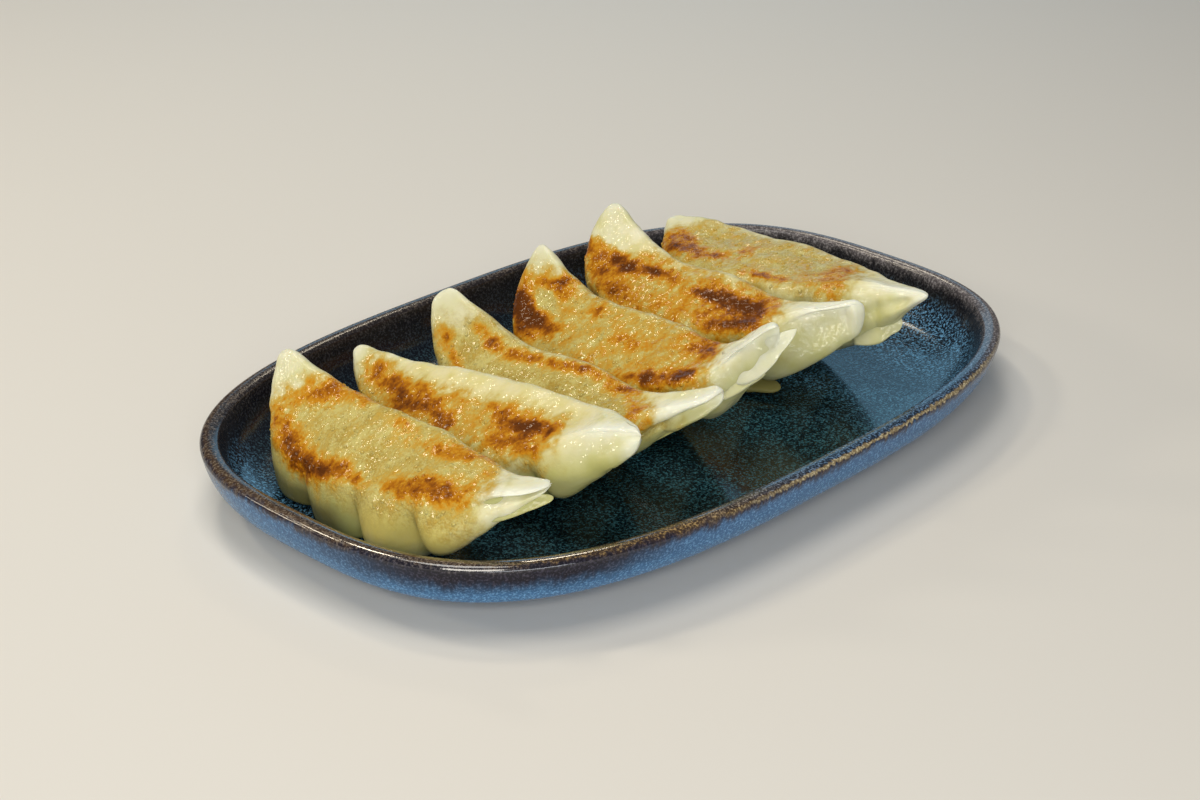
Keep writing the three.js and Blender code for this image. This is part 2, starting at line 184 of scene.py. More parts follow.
world = bpy.data.worlds.new("studio")
scene.world = world
world.use_nodes = True
world.node_tree.nodes["Background"].inputs["Color"].default_value = SKY_COLOUR
world.node_tree.nodes["Background"].inputs["Strength"].default_value = SKY_STRENGTH
scene.view_settings.view_transform = "Standard"
print("panels:", len(PANELS), "watts:", round(sum(row[3] for row in PANELS.values()), 2))

# %% [markdown]
# The plate stands on a wide pale floor. One square is enough, since nothing bends there. It
# lies a hair below zero, so that the foot of the plate and the floor don't flicker.

# %% Floor
FLOOR_HALF = 4000
FLOOR_DROP = 0.05

corners = np.array([(-1, -1, 0), (1, -1, 0), (1, 1, 0), (-1, 1, 0)]) * FLOOR_HALF
floor_mesh = mesh_from("floor", corners - (0, 0, FLOOR_DROP), [(0, 1, 2, 3)])
floor = place("floor", floor_mesh)
floor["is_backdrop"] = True
print("floor, metres across:", 2 * FLOOR_HALF * MM)

# %% [markdown]
# A small helper builds shader and geometry trees from short lines: it adds a node, sets its
# plain inputs and links the others. Reading a tree then feels like reading a recipe. The same
# trees could be drawn by hand in the node editor, but a script keeps them in one place.

# %% Helper for node trees
class Recipe:
    """Adds nodes to a tree and links them in the order they are written."""

    def __init__(self, tree):
        self.tree = tree

    def add(self, kind, inputs=None, **settings):
        node = self.tree.nodes.new(kind)
        for key, value in settings.items():
            setattr(node, key, value)
        for key, value in (inputs or {}).items():
            self.feed(node.inputs[key], value)
        return node

    def feed(self, socket, value):
        if isinstance(value, bpy.types.NodeSocket):
            self.tree.links.new(value, socket)
        else:
            socket.default_value = value

    def math(self, operation, *values, clamp=False):
        node = self.add("ShaderNodeMath", operation=operation, use_clamp=clamp)
        for socket, value in zip(node.inputs, values):
            self.feed(socket, value)
        return node.outputs[0]

    def plus(self, first, second, clamp=False):
        return self.math("ADD", first, second, clamp=clamp)

    def times(self, first, second):
        return self.math("MULTIPLY", first, second)

    def vector(self, operation, first, second):
        node = self.add("ShaderNodeVectorMath", {0: first}, operation=operation)
        self.feed(node.inputs["Scale" if operation == "SCALE" else 1], second)
        return node.outputs[0]

    def parts(self, vector):
        """The x, y and z of a vector."""
        return self.add("ShaderNodeSeparateXYZ", {0: vector}).outputs

    def fade(self, value, low, high, out_low=0.0, out_high=1.0):
        """Eases from one number to another as a value passes between two limits."""
        node = self.add("ShaderNodeMapRange", interpolation_type="SMOOTHSTEP")
        for key, number in enumerate((value, low, high, out_low, out_high)):
            self.feed(node.inputs[key], number)
        return node.outputs[0]

    def noise(self, scale, detail=3.0, rough=0.55, at=None, lift=0.0):
        """A noise from 0 to 1, or one about 0 where the lift is half."""
        sizes = {"Scale": scale, "Detail": detail, "Roughness": rough}
        node = self.add("ShaderNodeTexNoise", sizes)
        if at is not None:
            self.feed(node.inputs["Vector"], at)
        return self.math("SUBTRACT", node.outputs[0], lift) if lift else node.outputs[0]

    def blend(self, share, first, second):
        node = self.add("ShaderNodeMix", data_type="RGBA", blend_type="MIX")
        self.feed(node.inputs["Factor"], share)
        self.feed(node.inputs[6], first)
        self.feed(node.inputs[7], second)
        return node.outputs[2]

    def ramp(self, value, *stops):
        node = self.add("ShaderNodeValToRGB", {"Fac": value})
        line = node.color_ramp
        while len(line.elements) < len(stops):
            line.elements.new(0.5)
        for element, (where, colour) in zip(line.elements, stops):
            element.position = where
            element.color = (*colour, 1)
        return node.outputs["Color"]

    def bump(self, height, strength, distance):
        sizes = {"Height": height, "Strength": strength, "Distance": distance}
        return self.add("ShaderNodeBump", sizes).outputs[0]


def finish_named(name):
    """A new material with only its main shader, the recipe to fill it, and the place on a piece."""
    material = bpy.data.materials.new(name)
    material.use_nodes = True
    recipe = Recipe(material.node_tree)
    spot = recipe.add("ShaderNodeTexCoord").outputs["Object"]
    return material, recipe, material.node_tree.nodes["Principled BSDF"].inputs, spot


# %% [markdown]
# The floor is dull paper, a little uneven in tone, so that it doesn't look like a drawing.

# %% Floor finish
PAPER = (0.74, 0.73, 0.71, 1)
PAPER_SHADE = (0.68, 0.67, 0.65, 1)

paper, r, shader, spot = finish_named("pale_floor")
shade = r.noise(6.0, 2.0, at=spot)
r.feed(shader["Base Color"], r.blend(r.times(shade, 0.1), PAPER, PAPER_SHADE))
shader["Roughness"].default_value = 0.75
floor_mesh.materials.append(paper)
print("floor nodes:", len(paper.node_tree.nodes))

# %% [markdown]
# ## The dough
# A dumpling starts as a round wrapper folded over its filling. The seam is pleated on one side
# only, so the whole thing curls. It was fried standing on its flat side and then turned over:
# the fried face now looks up and the pleated seam hides below. It could be sculpted, but the
# six would then drift away from their solids, so each one is computed from a few real sizes.

# %% Sizes that all dumplings share
# The face, its rounded edges, and the seam below.
FRONT_EDGE_RADIUS = 4.0
PINCHED_EDGE_RADIUS = 0.8
BACK_EDGE_RADIUS = 2.2
FACE_DOME = 0.5
FULL_DEPTH = 20.0
SEAM_HALF = 1.6
SEAM_RADIUS = 0.5
# The tips. An arc is a pair of powers: how square the underside is, and how soon it rises.
FAR_TIP_DEPTH = 5.0
FAR_TIP_HALF = 2.4
NEAR_TIP_HALF = 1.7
FAR_ARC = (2.2, 0.7)
TIP_BLUNTNESS = 3
# Parts of the half width or of the depth that an edge, a seam or a swelling takes.
EDGE_SHARE = 0.45
SEAM_SHARE = 0.6
NOTCH_SHARE = 0.6
DROP_SHARE = 0.4
FRONT_SWELLS_AT = 0.36
BACK_SWELLS_AT = 0.38
BACK_FILL = 0.45
# The pleats at the front.
LOBE_HEIGHT = 3.4
LOBE_ROUNDNESS = 0.85
LOBE_BASE = 0.6
LOBE_UNEVEN = 0.22
RECESS_DEPTH = 2.2
RECESS_HALF = 3.0
EDGE_WAVE = 0.25
FULL_WAVE_AT = 0.4
# Places along a dumpling, from -1 at its far tip to 1 at its near one.
LOBES_FADE = (0.5, 0.85)
SHOULDER_PLACE, SHOULDER_REACH = -0.68, 0.22
DRAWN_IN = (0.62, 0.97)
NOTCH_GROWS, NOTCH_ENDING = (0.5, 0.82), 0.08
SLUMP_PLACE, SLUMP_REACH = -0.5, 0.3
LIFT_START, LIFT_END = 0.5, 1.25
FAR_HORN_START, NEAR_HORN_START = 0.15, 0.3
HORN_POWER = 1.3
# The dough is never quite flat, and where it would touch the plate it settles with a gap.
RUMPLE = 0.3
RUMPLE_PACES = (0.23, 0.16, 0.12)
CONTACT_GAP = 0.35
SETTLE_SOFTNESS = 0.8

# The plate's sizes that the dough needs too: it settles on the floor and on its rising edge.
PLATE_LENGTH = 226.0
PLATE_WIDTH = 138.5
PLATE_SQUARENESS = 2.87
PLATE_FLOOR = 4.5
FLOOR_EDGE = 18.7
FLOOR_CURVE = 0.032
print("plate, mm:", PLATE_LENGTH, "by", PLATE_WIDTH, "floor at", PLATE_FLOOR)

# %% [markdown]
# Each dumpling is its own: how it lies, how long and wide its face is, how far its two tips
# curl, how its belly swells. Far is the tip at the back of the plate, near the one in front.
# A pair for the tips has the far one first.

# %% Sizes of each dumpling
# at, heading, pitch: where it lies and how it is turned. tilt, twist: how its face leans.
# horns, lift, taper: how far both tips curl, in degrees, how far they rise and how late they
# narrow. bulge: front, back and how full. tip, arc: depth and shape of the near tip. lean,
# slump: how far the seam is off centre. valley: place of a fold, and the space between two.
# pinch: the near tip's thin edge, from, to and how wide. notch: how deep, where down the side,
# its reach and its end. shoulder: how far the front stands out before the far tip, and is drawn
# in at it. shift: a number that makes the unevenness differ.
DUMPLINGS = [
    dict(at=(-87.5, -2.5, 25), heading=-2, pitch=6, tilt=31, twist=-17.5,
         length=98, width=25.5, depth=24.5, horns=(53, 37), lift=(2, 0), taper=(3.1, 2.1),
         bulge=(8, 2.5, 0.95), tip=2, arc=(1.7, 1.5), lean=-5, slump=-8, valley=(-0.36, 0.38),
         pinch=(0.4, 0.75, 4.3), notch=(2.5, 0.16, 0.1, 1.2), shoulder=(1.8, 1.9), shift=0.45),
    dict(at=(-57, -3, 25), heading=2, pitch=8.4, tilt=29, twist=-12.5,
         length=98, width=25.5, depth=23, horns=(31, 12), lift=(0.5, 2.8), taper=(2.2, 4.2),
         bulge=(4, -2, 0.7), tip=4.5, arc=(1.7, 1.1), lean=-1.5, slump=0, valley=(0.1, 0.36),
         pinch=(0.38, 0.74, -0.3), notch=(0.8, 0.16, 0.1, 1.2), shoulder=(0, 1.9), shift=0.75),
    dict(at=(-34.6, -6, 24.8), heading=-1.5, pitch=7.4, tilt=29, twist=-15,
         length=98.5, width=22.5, depth=24, horns=(58, 60), lift=(6.5, 3.2), taper=(3.6, 1.7),
         bulge=(-1.5, 3, 0.7), tip=4.5, arc=(1.05, 1.3), lean=2.5, slump=0, valley=(0.0, 0.34),
         pinch=(0.5, 0.85, 3.3), notch=(3.2, 0.3, 0.17, 1.0), shoulder=(1.6, -0.6), shift=0.1),
    dict(at=(-4.5, -0.5, 25.2), heading=-2, pitch=8, tilt=28, twist=-14.5,
         length=100.5, width=26.5, depth=25, horns=(80, 38), lift=(3.2, 11), taper=(3.5, 2.2),
         bulge=(4, 2.5, 0.7), tip=6.5, arc=(1.1, 0.85), lean=3, slump=0, valley=(0.15, 0.33),
         pinch=(0.5, 0.8, 1.4), notch=(1.9, 0.27, 0.28, 1.2), shoulder=(0.3, 1.9), shift=0.55),
    dict(at=(31.5, 6, 26.3), heading=1.5, pitch=4.8, tilt=24, twist=-15,
         length=101, width=23.5, depth=23.5, horns=(80, 56), lift=(0.5, 2.8), taper=(5, 1.7),
         bulge=(4, 2.5, 0.7), tip=7.5, arc=(1.4, 0.85), lean=-2, slump=0, valley=(-0.05, 0.45),
         pinch=(0.48, 0.74, 0.3), notch=(3.0, 0.28, 0.26, 0.95), shoulder=(-0.5, 1.7), shift=0.95),
    dict(at=(61.5, 0.5, 28.8), heading=-0.5, pitch=6.2, tilt=6, twist=-13,
         length=97, width=27.5, depth=24.5, horns=(32, 4), lift=(0, 0), taper=(3.4, 2),
         bulge=(4, 2.5, 0.7), tip=2, arc=(2.4, 1.25), lean=2, slump=0, valley=(0.05, 0.34),
         pinch=(0.42, 0.72, 1.0), notch=(1.7, 0.33, 0.2, 0.95), shoulder=(0, 1.9), shift=0.4),
]
print("dumplings:", len(DUMPLINGS), "lengths:", [d["length"] for d in DUMPLINGS])

# %% [markdown]
# A dumpling is sliced into rings along a bent line, its spine. The rings sit close together
# at the tips, where the shape closes quickly, and evenly between. The spine could be a curve
# with handles, but a rule for its bend keeps its length true whatever the curl.

# %% Where the rings are, and the bent spine
EVEN_RINGS = 200
TIP_RINGS = 14
TIP_START = 0.93
SPINE_STEPS = 2000

tips = TIP_START + (1 - TIP_START) * np.sin(np.linspace(0, np.pi / 2, TIP_RINGS + 2)[1:-1])
STATIONS = np.concatenate([-tips[::-1], np.linspace(-TIP_START, TIP_START, EVEN_RINGS), tips])


def bent_spine(d, s):
    """Distance along and across, and the direction, of the spine at each s from -1 to 1."""
    fine = np.linspace(-1, 1, SPINE_STEPS + 1)
    near = np.maximum(0, (fine - NEAR_HORN_START) / (1 - NEAR_HORN_START)) ** HORN_POWER
    far = np.maximum(0, (-fine - FAR_HORN_START) / (1 - FAR_HORN_START)) ** HORN_POWER
    bend = np.radians(d["horns"][1] * near - d["horns"][0] * far)
    step = d["length"] / 2 * (fine[1] - fine[0])
    along = np.concatenate([[0], np.cumsum(np.cos((bend[1:] + bend[:-1]) / 2))]) * step
    across = np.concatenate([[0], np.cumsum(np.sin((bend[1:] + bend[:-1]) / 2))]) * step
    middle = SPINE_STEPS // 2
    along, across = along - along[middle], across - across[middle]
    return (np.interp(s, fine, q) for q in (along, across, bend))


print("rings in a dumpling:", len(STATIONS))

# %% [markdown]
# The pleats gather the front into rounded lobes with a deep fold between two of them. The
# folds are evenly spaced but no two lobes are alike, and toward the tips they fade out.

# %% Pleats
def lobes_at(d, s):
    """How far the front stands out, in millimetres: less than nothing in a fold."""
    start, spacing = d["valley"]
    phase = (s - start) / spacing
    part = phase - np.floor(phase)
    uneven = 1 + LOBE_UNEVEN * np.sin(5 * np.floor(phase) + 9 * d["shift"])
    from_fold = np.minimum(part, 1 - part) * spacing * d["length"] / 2
    hump = np.sin(np.pi * part ** LOBE_ROUNDNESS) ** LOBE_ROUNDNESS
    lobe = LOBE_HEIGHT * (hump * uneven - LOBE_BASE)
    return lobe - RECESS_DEPTH * np.exp(-(from_fold / RECESS_HALF) ** 2)


print("deepest fold, mm:", round(float(min(lobes_at(d, STATIONS).min() for d in DUMPLINGS)), 2))

# %% [markdown]
# One slice is a rounded triangle: the fried face on top, the lobed front, the seam at the
# bottom and the smooth back. First comes what every slice measures. All slices are worked out
# at once: each measure is a column with one row for a slice.

# %% What the slices measure
def by_side(s, far, near):
    return np.where(s < 0, far, near)


def bump_at(s, place, reach):
    return np.exp(-((s - place) / reach) ** 2)


def measures(d, s):
    off = np.abs(s)
    m = SimpleNamespace(off=off)
    tip = by_side(s, FAR_TIP_HALF, NEAR_TIP_HALF)
    m.half = tip + (d["width"] / 2 - tip) * (1 - off ** by_side(s, *d["taper"]))
    tip_depth = by_side(s, FAR_TIP_DEPTH, d["tip"])
    square, soon = (by_side(s, far, near) for far, near in zip(FAR_ARC, d["arc"]))
    m.depth = tip_depth + (d["depth"] - tip_depth) * (1 - off ** square) ** soon
    m.full = (1 - off ** 3) * np.minimum(1, m.depth / FULL_DEPTH)
    m.lobe = lobes_at(d, s) * (1 - smoothstep(off, *LOBES_FADE))
    m.lean = d["lean"] * (1 - off ** 2) + d["slump"] * bump_at(s, SLUMP_PLACE, SLUMP_REACH)
    m.seam = np.minimum(SEAM_HALF, SEAM_SHARE * m.half)

    pinch = smoothstep(s, *d["pinch"][:2])
    front_at = m.half + (np.minimum(d["pinch"][2], m.half) - m.half) * pinch
    shoulder, draw_in = d["shoulder"]
    wider = shoulder * bump_at(s, SHOULDER_PLACE, SHOULDER_REACH)
    m.front_at = front_at + wider - draw_in * smoothstep(-s, *DRAWN_IN)
    radius = FRONT_EDGE_RADIUS + (PINCHED_EDGE_RADIUS - FRONT_EDGE_RADIUS) * pinch
    m.front_radius = np.minimum(radius, EDGE_SHARE * m.half)
    m.back_radius = np.minimum(BACK_EDGE_RADIUS, EDGE_SHARE * m.half)
    m.front_drop = np.minimum(m.front_radius, DROP_SHARE * m.depth)
    m.back_drop = np.minimum(m.back_radius, DROP_SHARE * m.depth)
    deep, m.notch_at, m.notch_reach, until = d["notch"]
    notch = deep * smoothstep(s, *NOTCH_GROWS) * (1 - smoothstep(s, until - NOTCH_ENDING, until))
    m.notch = np.minimum(notch, NOTCH_SHARE * m.half)
    return m


print("measures of a slice:", len(vars(measures(DUMPLINGS[0], STATIONS[:, None]))))

# %% [markdown]
# The slice is then drawn in six parts that follow one another round the wrapper. The sides
# are curves with two handles. Near the front tip a notch under the face parts the two layers
# of wrapper.

# %% The six parts of a slice
FACE_POINTS, SIDE_POINTS, EDGE_POINTS, SEAM_POINTS = 54, 40, 7, 6


def bezier(points, t):
    u = 1 - t
    weights = (u ** 3, 3 * t * u * u, 3 * t * t * u, t ** 3)
    return [sum(w * p[axis] for w, p in zip(weights, points)) for axis in (0, 1)]


def face_and_front(d, m):
    """The face from back to front, the front edge and the lobed front down to the seam."""
    corner = -(m.front_at - m.front_radius)
    t = np.linspace(1, 0, FACE_POINTS)[None]
    x = corner + t * (m.half + m.front_at - m.front_radius - m.back_radius)
    face = (x, FACE_DOME * (1 - (x / m.half) ** 2) * (1 - m.off ** 2))

    swell = np.maximum(d["bulge"][0] * m.full, 0)
    turn = np.arctan2(np.maximum(FRONT_SWELLS_AT * m.depth - m.front_drop, 1), swell)
    a = turn * np.linspace(0, 1, EDGE_POINTS + 1)[None, 1:]
    edge = (corner - m.front_radius * np.sin(a) - EDGE_WAVE * m.lobe * a / turn,
            -m.front_drop * (1 - np.cos(a)))

    t = (np.linspace(0, 1, SIDE_POINTS + 1)[1:])[None]
    at_seam = m.lean - m.seam
    across, normal = bezier((
        (corner - m.front_radius * np.sin(turn), -m.front_drop * (1 - np.cos(turn))),
        (-m.half - d["bulge"][0] * m.full, -FRONT_SWELLS_AT * m.depth),
        (at_seam - d["bulge"][2] * (m.half - m.seam), -m.depth),
        (at_seam, -m.depth + SEAM_RADIUS)), t)
    wave = EDGE_WAVE + (1 - EDGE_WAVE) * smoothstep(t, 0.0, FULL_WAVE_AT)
    notch = m.notch * bump_at(t, m.notch_at, m.notch_reach)
    return face, edge, (across - m.lobe * wave + notch, normal)


def seam_and_back(d, m):
    """The underside of the seam, the smooth back up to the face, and the back edge."""
    a = (np.linspace(0, np.pi, SEAM_POINTS + 2)[1:-1])[None]
    under = (m.lean - m.seam * np.cos(a), -m.depth + SEAM_RADIUS - SEAM_RADIUS * np.sin(a))

    t = (np.linspace(1, 0, SIDE_POINTS + 1)[:-1])[None]
    back = bezier((
        (m.half, -m.back_drop), (m.half + d["bulge"][1] * m.full, -BACK_SWELLS_AT * m.depth),
        (m.lean + m.seam + BACK_FILL * (m.half - m.seam), -m.depth),
        (m.lean + m.seam, -m.depth + SEAM_RADIUS)), t)
    a = (np.linspace(np.pi / 2, 0, EDGE_POINTS + 1)[:-1])[None]
    edge = (m.half - m.back_radius + m.back_radius * np.sin(a), -m.back_drop * (1 - np.cos(a)))
    return under, back, edge


# %% [markdown]
# Beside its place, every point gets its way round the wrapper, in millimetres from the middle
# of the face, less than nothing toward the front. The browning is placed with that, so that it
# runs over an edge as it does on real dough.

# %% Whole slices
def slices(d, s):
    """Rings of (across, normal) for all s, and the distance round the wrapper."""
    m = measures(d, s[:, None])
    parts = [np.broadcast_arrays(*part) for part in (*face_and_front(d, m), *seam_and_back(d, m))]
    across, normal = (np.concatenate([part[k] for part in parts], axis=1) for k in range(2))
    rings = np.stack([across, normal], axis=2)
    steps = np.linalg.norm(np.diff(rings, axis=1, append=rings[:, :1]), axis=2)
    forward = np.cumsum(steps, axis=1) - steps
    total = forward[:, -1:] + steps[:, -1:]
    start = m.half - m.back_radius
    round_way = np.where(forward < total / 2, start - forward, start + (total - forward))
    return rings, round_way


first_rings, first_way = slices(DUMPLINGS[0], STATIONS)
print("points in a ring:", first_rings.shape[1])
print("widest way round, mm:", round(float(np.ptp(first_way)), 1))

# %% [markdown]
# The rings are then laid along the spine, tilted so that the face leans back, and set down on
# the plate. Dough is soft: where it would pass the plate's floor it settles on it instead. A
# cloth simulation could do that too, but it would move the six away from their solids.

# %% Laying a dumpling on the plate
def to_plate(d):
    heading = Matrix.Rotation(math.radians(d["heading"]), 4, "Z")
    pitch = Matrix.Rotation(math.radians(-d["pitch"]), 4, "X")
    return Matrix.Translation(d["at"]) @ (heading @ pitch)


def floor_under(x, y):
    """Height of the plate's floor, which rises toward the wall."""
    across, deep = np.abs(x) / (PLATE_LENGTH / 2), np.abs(y) / (PLATE_WIDTH / 2)
    n = PLATE_SQUARENESS
    reach = (across ** n + deep ** n) ** (1 / n)
    steep = np.hypot(across ** (n - 1) / (PLATE_LENGTH / 2), deep ** (n - 1) / (PLATE_WIDTH / 2))
    inset = (1 - reach) * reach ** (n - 1) / steep
    return PLATE_FLOOR + FLOOR_CURVE * np.maximum(0, FLOOR_EDGE - inset) ** 2


def settle(above):
    """Leaves what is well above the plate alone, and eases the rest up to it."""
    return SETTLE_SOFTNESS * np.logaddexp(0, above / SETTLE_SOFTNESS)


def rumple(x, y, shift):
    along, across, skew = RUMPLE_PACES
    return RUMPLE * (np.sin(along * x + 7 * shift) + np.sin(across * y - skew * x))


def lay(d, s, rings):
    """The places on the plate of all the points of all the rings."""
    along, across, bend = (q[:, None] for q in bent_spine(d, s))
    s = s[:, None]
    lift = smoothstep(np.abs(s), LIFT_START, LIFT_END) / smoothstep(1, LIFT_START, LIFT_END)
    lift = lift * by_side(s, *d["lift"])
    past = ((np.abs(s) - TIP_START) / (1 - TIP_START)).clip(0, 1)
    closing = np.sqrt(np.maximum(0, 1 - past ** TIP_BLUNTNESS))
    middle = rings[:, :, 1:2].mean(axis=1)
    side = rings[:, :, 0] * closing
    normal = middle + (rings[:, :, 1] - middle) * closing
    x = along - side * np.sin(bend)
    y = across + side * np.cos(bend)
    z = normal + lift + rumple(x, y, d["shift"])
    tilt = np.radians(d["tilt"] + d["twist"] * s)
    leaning, upright = y * np.cos(tilt) - z * np.sin(tilt), y * np.sin(tilt) + z * np.cos(tilt)
    matrix = np.array(to_plate(d))
    points = np.stack([leaning, -x, upright], axis=2) @ matrix[:3, :3].T + matrix[:3, 3]
    rest = floor_under(points[:, :, 0], points[:, :, 1]) + CONTACT_GAP
    points[:, :, 2] = rest + settle(points[:, :, 2] - rest)
    return points


laid = lay(DUMPLINGS[0], STATIONS, first_rings)
print("the first one lies from", laid.min(axis=(0, 1)).round(1))
print("to", laid.max(axis=(0, 1)).round(1))

# %% [markdown]
# ## The browning
# The pan touched only the face, and not evenly: the dough lies pale gold where it just dried,
# and deep brown where it pressed hardest. A picture could be wrapped over it, but it would
# blur and stretch, so each soft spot is given by its place on the face (along, across), its
# reach both ways and its strength.

# %% Where the crust and the dark spots are
# far and near: where the crust ends along the face, at its front edge and at its back edge.
# sides: its front and back borders. oil: how yellow the dough beside it is. Then how olive
# the belly is, with painted shade in it, and how much more painted shade its far half gets.
# all_over: toast on the whole face. spots: along, across, reach along, reach across, strength.
BROWNED = [
    {"far": (-40, -33), "near": (34, 37), "sides": (-14.5, 13.5),
     "oil": 1.0, "shaded_olive": 0.25, "far_shade": 1.75, "all_over": 0.05, "spots": [
        (-34, 5, 7, 4, 0.9), (-27, 8, 6, 3.5, 0.9), (-17, 12, 7, 2.5, 0.8),
        (-36, -3, 5, 4, 0.6), (-27, -7, 7, 3.5, 1.15), (-18, -10, 6, 3.5, 1.45),
        (-11, -8.5, 5, 3, 1.35), (-6.5, -6.5, 3, 2, 0.9), (0, -8, 3, 2, 1.0),
        (15, -7, 7, 2.5, 0.9), (21, -4, 7, 3.5, 0.85), (27, -5, 6, 3, 0.85),
        (15, 6.5, 8, 2.5, 0.75), (24, 8, 7, 2.5, 0.75), (1, 8.5, 3.5, 2, 0.8),
        (33, 1, 5, 5, 0.35)]},
    {"far": (-41, -41), "near": (26, 25), "sides": (-13, 4),
     "oil": 0.45, "shaded_olive": 0.9, "far_shade": 0, "all_over": 0.3, "spots": [
        (-36, 1, 5, 3, 0.9), (-29, 2, 5, 3, 0.9), (-24, 0, 5, 2.5, 0.8),
        (-18, 3, 3.5, 2.5, 1.0), (-21, -3.5, 6, 2.5, 1.1), (-12, -1.5, 5, 2.5, 0.9),
        (-7, 4.5, 6, 2, 0.7), (-6, -4.5, 3.5, 2.5, 1.2), (7, 3, 5, 2, 0.95),
        (12, 0.5, 5, 3, 1.2), (19, -0.5, 6, 3.5, 1.35), (25, 0, 3.5, 3, 1.1),
        (13, -7, 6, 3, 0.8), (21, -6, 6, 3, 0.6)]},
    {"far": (-43, -38), "near": (37, 24), "sides": (-12, 11),
     "oil": 0.6, "shaded_olive": 0.9, "far_shade": 0, "all_over": 0.0, "spots": [
        (-39, -4, 3, 2.5, 0.7), (-31, 4.5, 5, 2, 0.85), (-27, 5, 3, 2, 0.8),
        (-32, -5, 5, 1.5, 0.8), (-19, 5.5, 6, 2.2, 0.9), (-12, 7.5, 5, 1.8, 0.9),
        (-3, 7.5, 7, 2.2, 1.0), (7, 8.2, 6, 2, 1.0), (18, 6.5, 5, 2.5, 1.1), (24, 6, 4, 3, 0.9),
        (30, -3.5, 4, 5, 0.9), (28, 2, 4, 3, 0.5)]},
    {"far": (-46, -36), "near": (30, 31), "sides": (-13, 13.5),
     "oil": 0.5, "shaded_olive": 0.7, "far_shade": 0, "all_over": 0.3, "spots": [
        (-41, -4, 4, 3, 1.0), (-39, 2, 4, 3, 1.1), (-35, 6.5, 5, 3, 1.1), (-36, -7, 4, 3, 1.2),
        (-32, -5, 5, 3, 1.35), (-28, -3, 3, 2.5, 1.1), (-22.5, -2.5, 4, 2.5, 1.05),
        (-30, -8, 5, 2.5, 0.9), (-32.5, 1, 4, 2.5, -1.0), (-13, 8.5, 3, 3, 0.85),
        (-4.5, -7.7, 3, 2, 0.6), (4, 2, 8, 2.5, 0.45), (17.5, -8.5, 5, 3, 1.3),
        (24, -6, 4, 3, 0.9), (29, -5, 5, 3, 1.05), (23, 8, 5, 3, 0.8), (28, 5, 6, 4, 0.9),
        (31, 0, 4, 4, 0.8), (11, -9, 5, 2, 0.6)]},
    {"far": (-48, -22), "near": (26, 28), "sides": (-12.5, 9),
     "oil": 0.4, "shaded_olive": 0.6, "far_shade": 0, "all_over": 0.5, "spots": [
        (-38, -4, 4, 3.5, 1.1), (-34, -1, 5, 3, 1.05), (-29, 1, 5, 2.5, 1.0),
        (-23, 0.8, 4, 2.5, 1.3), (-17, 3.5, 4, 2, 1.15), (-11, 4.5, 4, 2, 0.9),
        (-20, -7, 6, 2.5, 0.7), (-28, -5, 5, 2.5, 0.7), (3, 1.5, 4, 2, 0.8),
        (8, 1.5, 5, 3, 1.1), (14, 1, 5, 3.5, 1.15), (20.5, 1, 5, 4, 1.2), (22, -5, 5, 3, 1.1),
        (28, -3, 3.5, 4, 1.0), (14, -7.5, 6, 2.5, 0.9)]},
    {"far": (-50, -32), "near": (28, 23), "sides": (-13.5, 11.5),
     "oil": 0.3, "shaded_olive": 0.6, "far_shade": 0, "all_over": 0.15, "spots": [
        (-32, -6.5, 5, 3, 1.0), (-25, -5.5, 5, 3, 1.05), (-32, -2, 5, 2, 0.8),
        (-38, -3, 3, 4, 0.7), (-16.5, -4, 3, 2, 0.95), (-11.5, 0.6, 3, 3.5, 0.85),
        (-1, -9.4, 5, 2, 0.75), (6, -8.8, 5, 2, 0.8), (21.5, 4, 5, 4, 0.55),
        (24.5, -8, 6, 4, 0.6), (22, -2, 8, 5, 0.45)]},
]
print("brown spots:", [len(plan["spots"]) for plan in BROWNED])

# %% [markdown]
# Five notes tell the finish what the dough is like at each point: how far inside the crust it
# is, how toasted, how oily, how thin, and how much olive and painted shade its belly gets. They
# are worked out here, once, because a shader can't know where a point sits on the wrapper. In
# the functions, u is the place along the face and v the way round the wrapper.

# %% Notes for the finish
# A pair is where a note starts and where it is full, in millimetres along the face, inside the
# crust or below the face's edge. PINCHED_RIM and THIN_ENDS are places from -1 to 1 instead.
CRUST_END_SLOPE = 0.8
OIL_NEAR_CRUST, OIL_ENDS = (-20, -1), (26, 38)
# Painted shade on the belly grows below the face's edge and over the far half, and a little more is
# painted near the far tip.
BELLY_BELOW_EDGE, FAR_HALF, FAR_TIP = (0.5, 10), (-8, 4), (-46, -34)
FAR_TIP_SHADE = 0.35
PINCHED_RIM, RIM_REACH = (0.55, 0.8), 2.2
THIN_ENDS, ENDS_WHITE = (0.88, 1.0), 0.7


def crust_depth(plan, u, v):
    """Millimetres inside the fried patch; negative outside it."""
    front, back = plan["sides"]
    across = ((v - front) / (back - front)).clip(0, 1)
    far, near = (pair[0] + (pair[1] - pair[0]) * across for pair in (plan["far"], plan["near"]))
    from_ends = np.minimum(u - far, near - u) * CRUST_END_SLOPE
    return np.minimum(from_ends, np.minimum(back - v, v - front))


def oil_at(plan, u, crust):
    """How yellow the oil has made the bare dough: most beside the crust, none at the tips."""
    return plan["oil"] * smoothstep(crust, *OIL_NEAR_CRUST) * (1 - smoothstep(np.abs(u), *OIL_ENDS))


def belly_shade_at(plan, u, v):
    """The belly's olive and painted shade: none at the face's edges, full well below them."""
    below = np.maximum(v[:, FACE_POINTS - 1:FACE_POINTS] - v, v - v[:, :1])
    olive_and_shade = plan["shaded_olive"] + plan["far_shade"] * (1 - smoothstep(u, *FAR_HALF))
    far_tip_shade = FAR_TIP_SHADE * (1 - smoothstep(u, *FAR_TIP))
    return np.maximum(olive_and_shade * smoothstep(below, *BELLY_BELOW_EDGE), far_tip_shade)


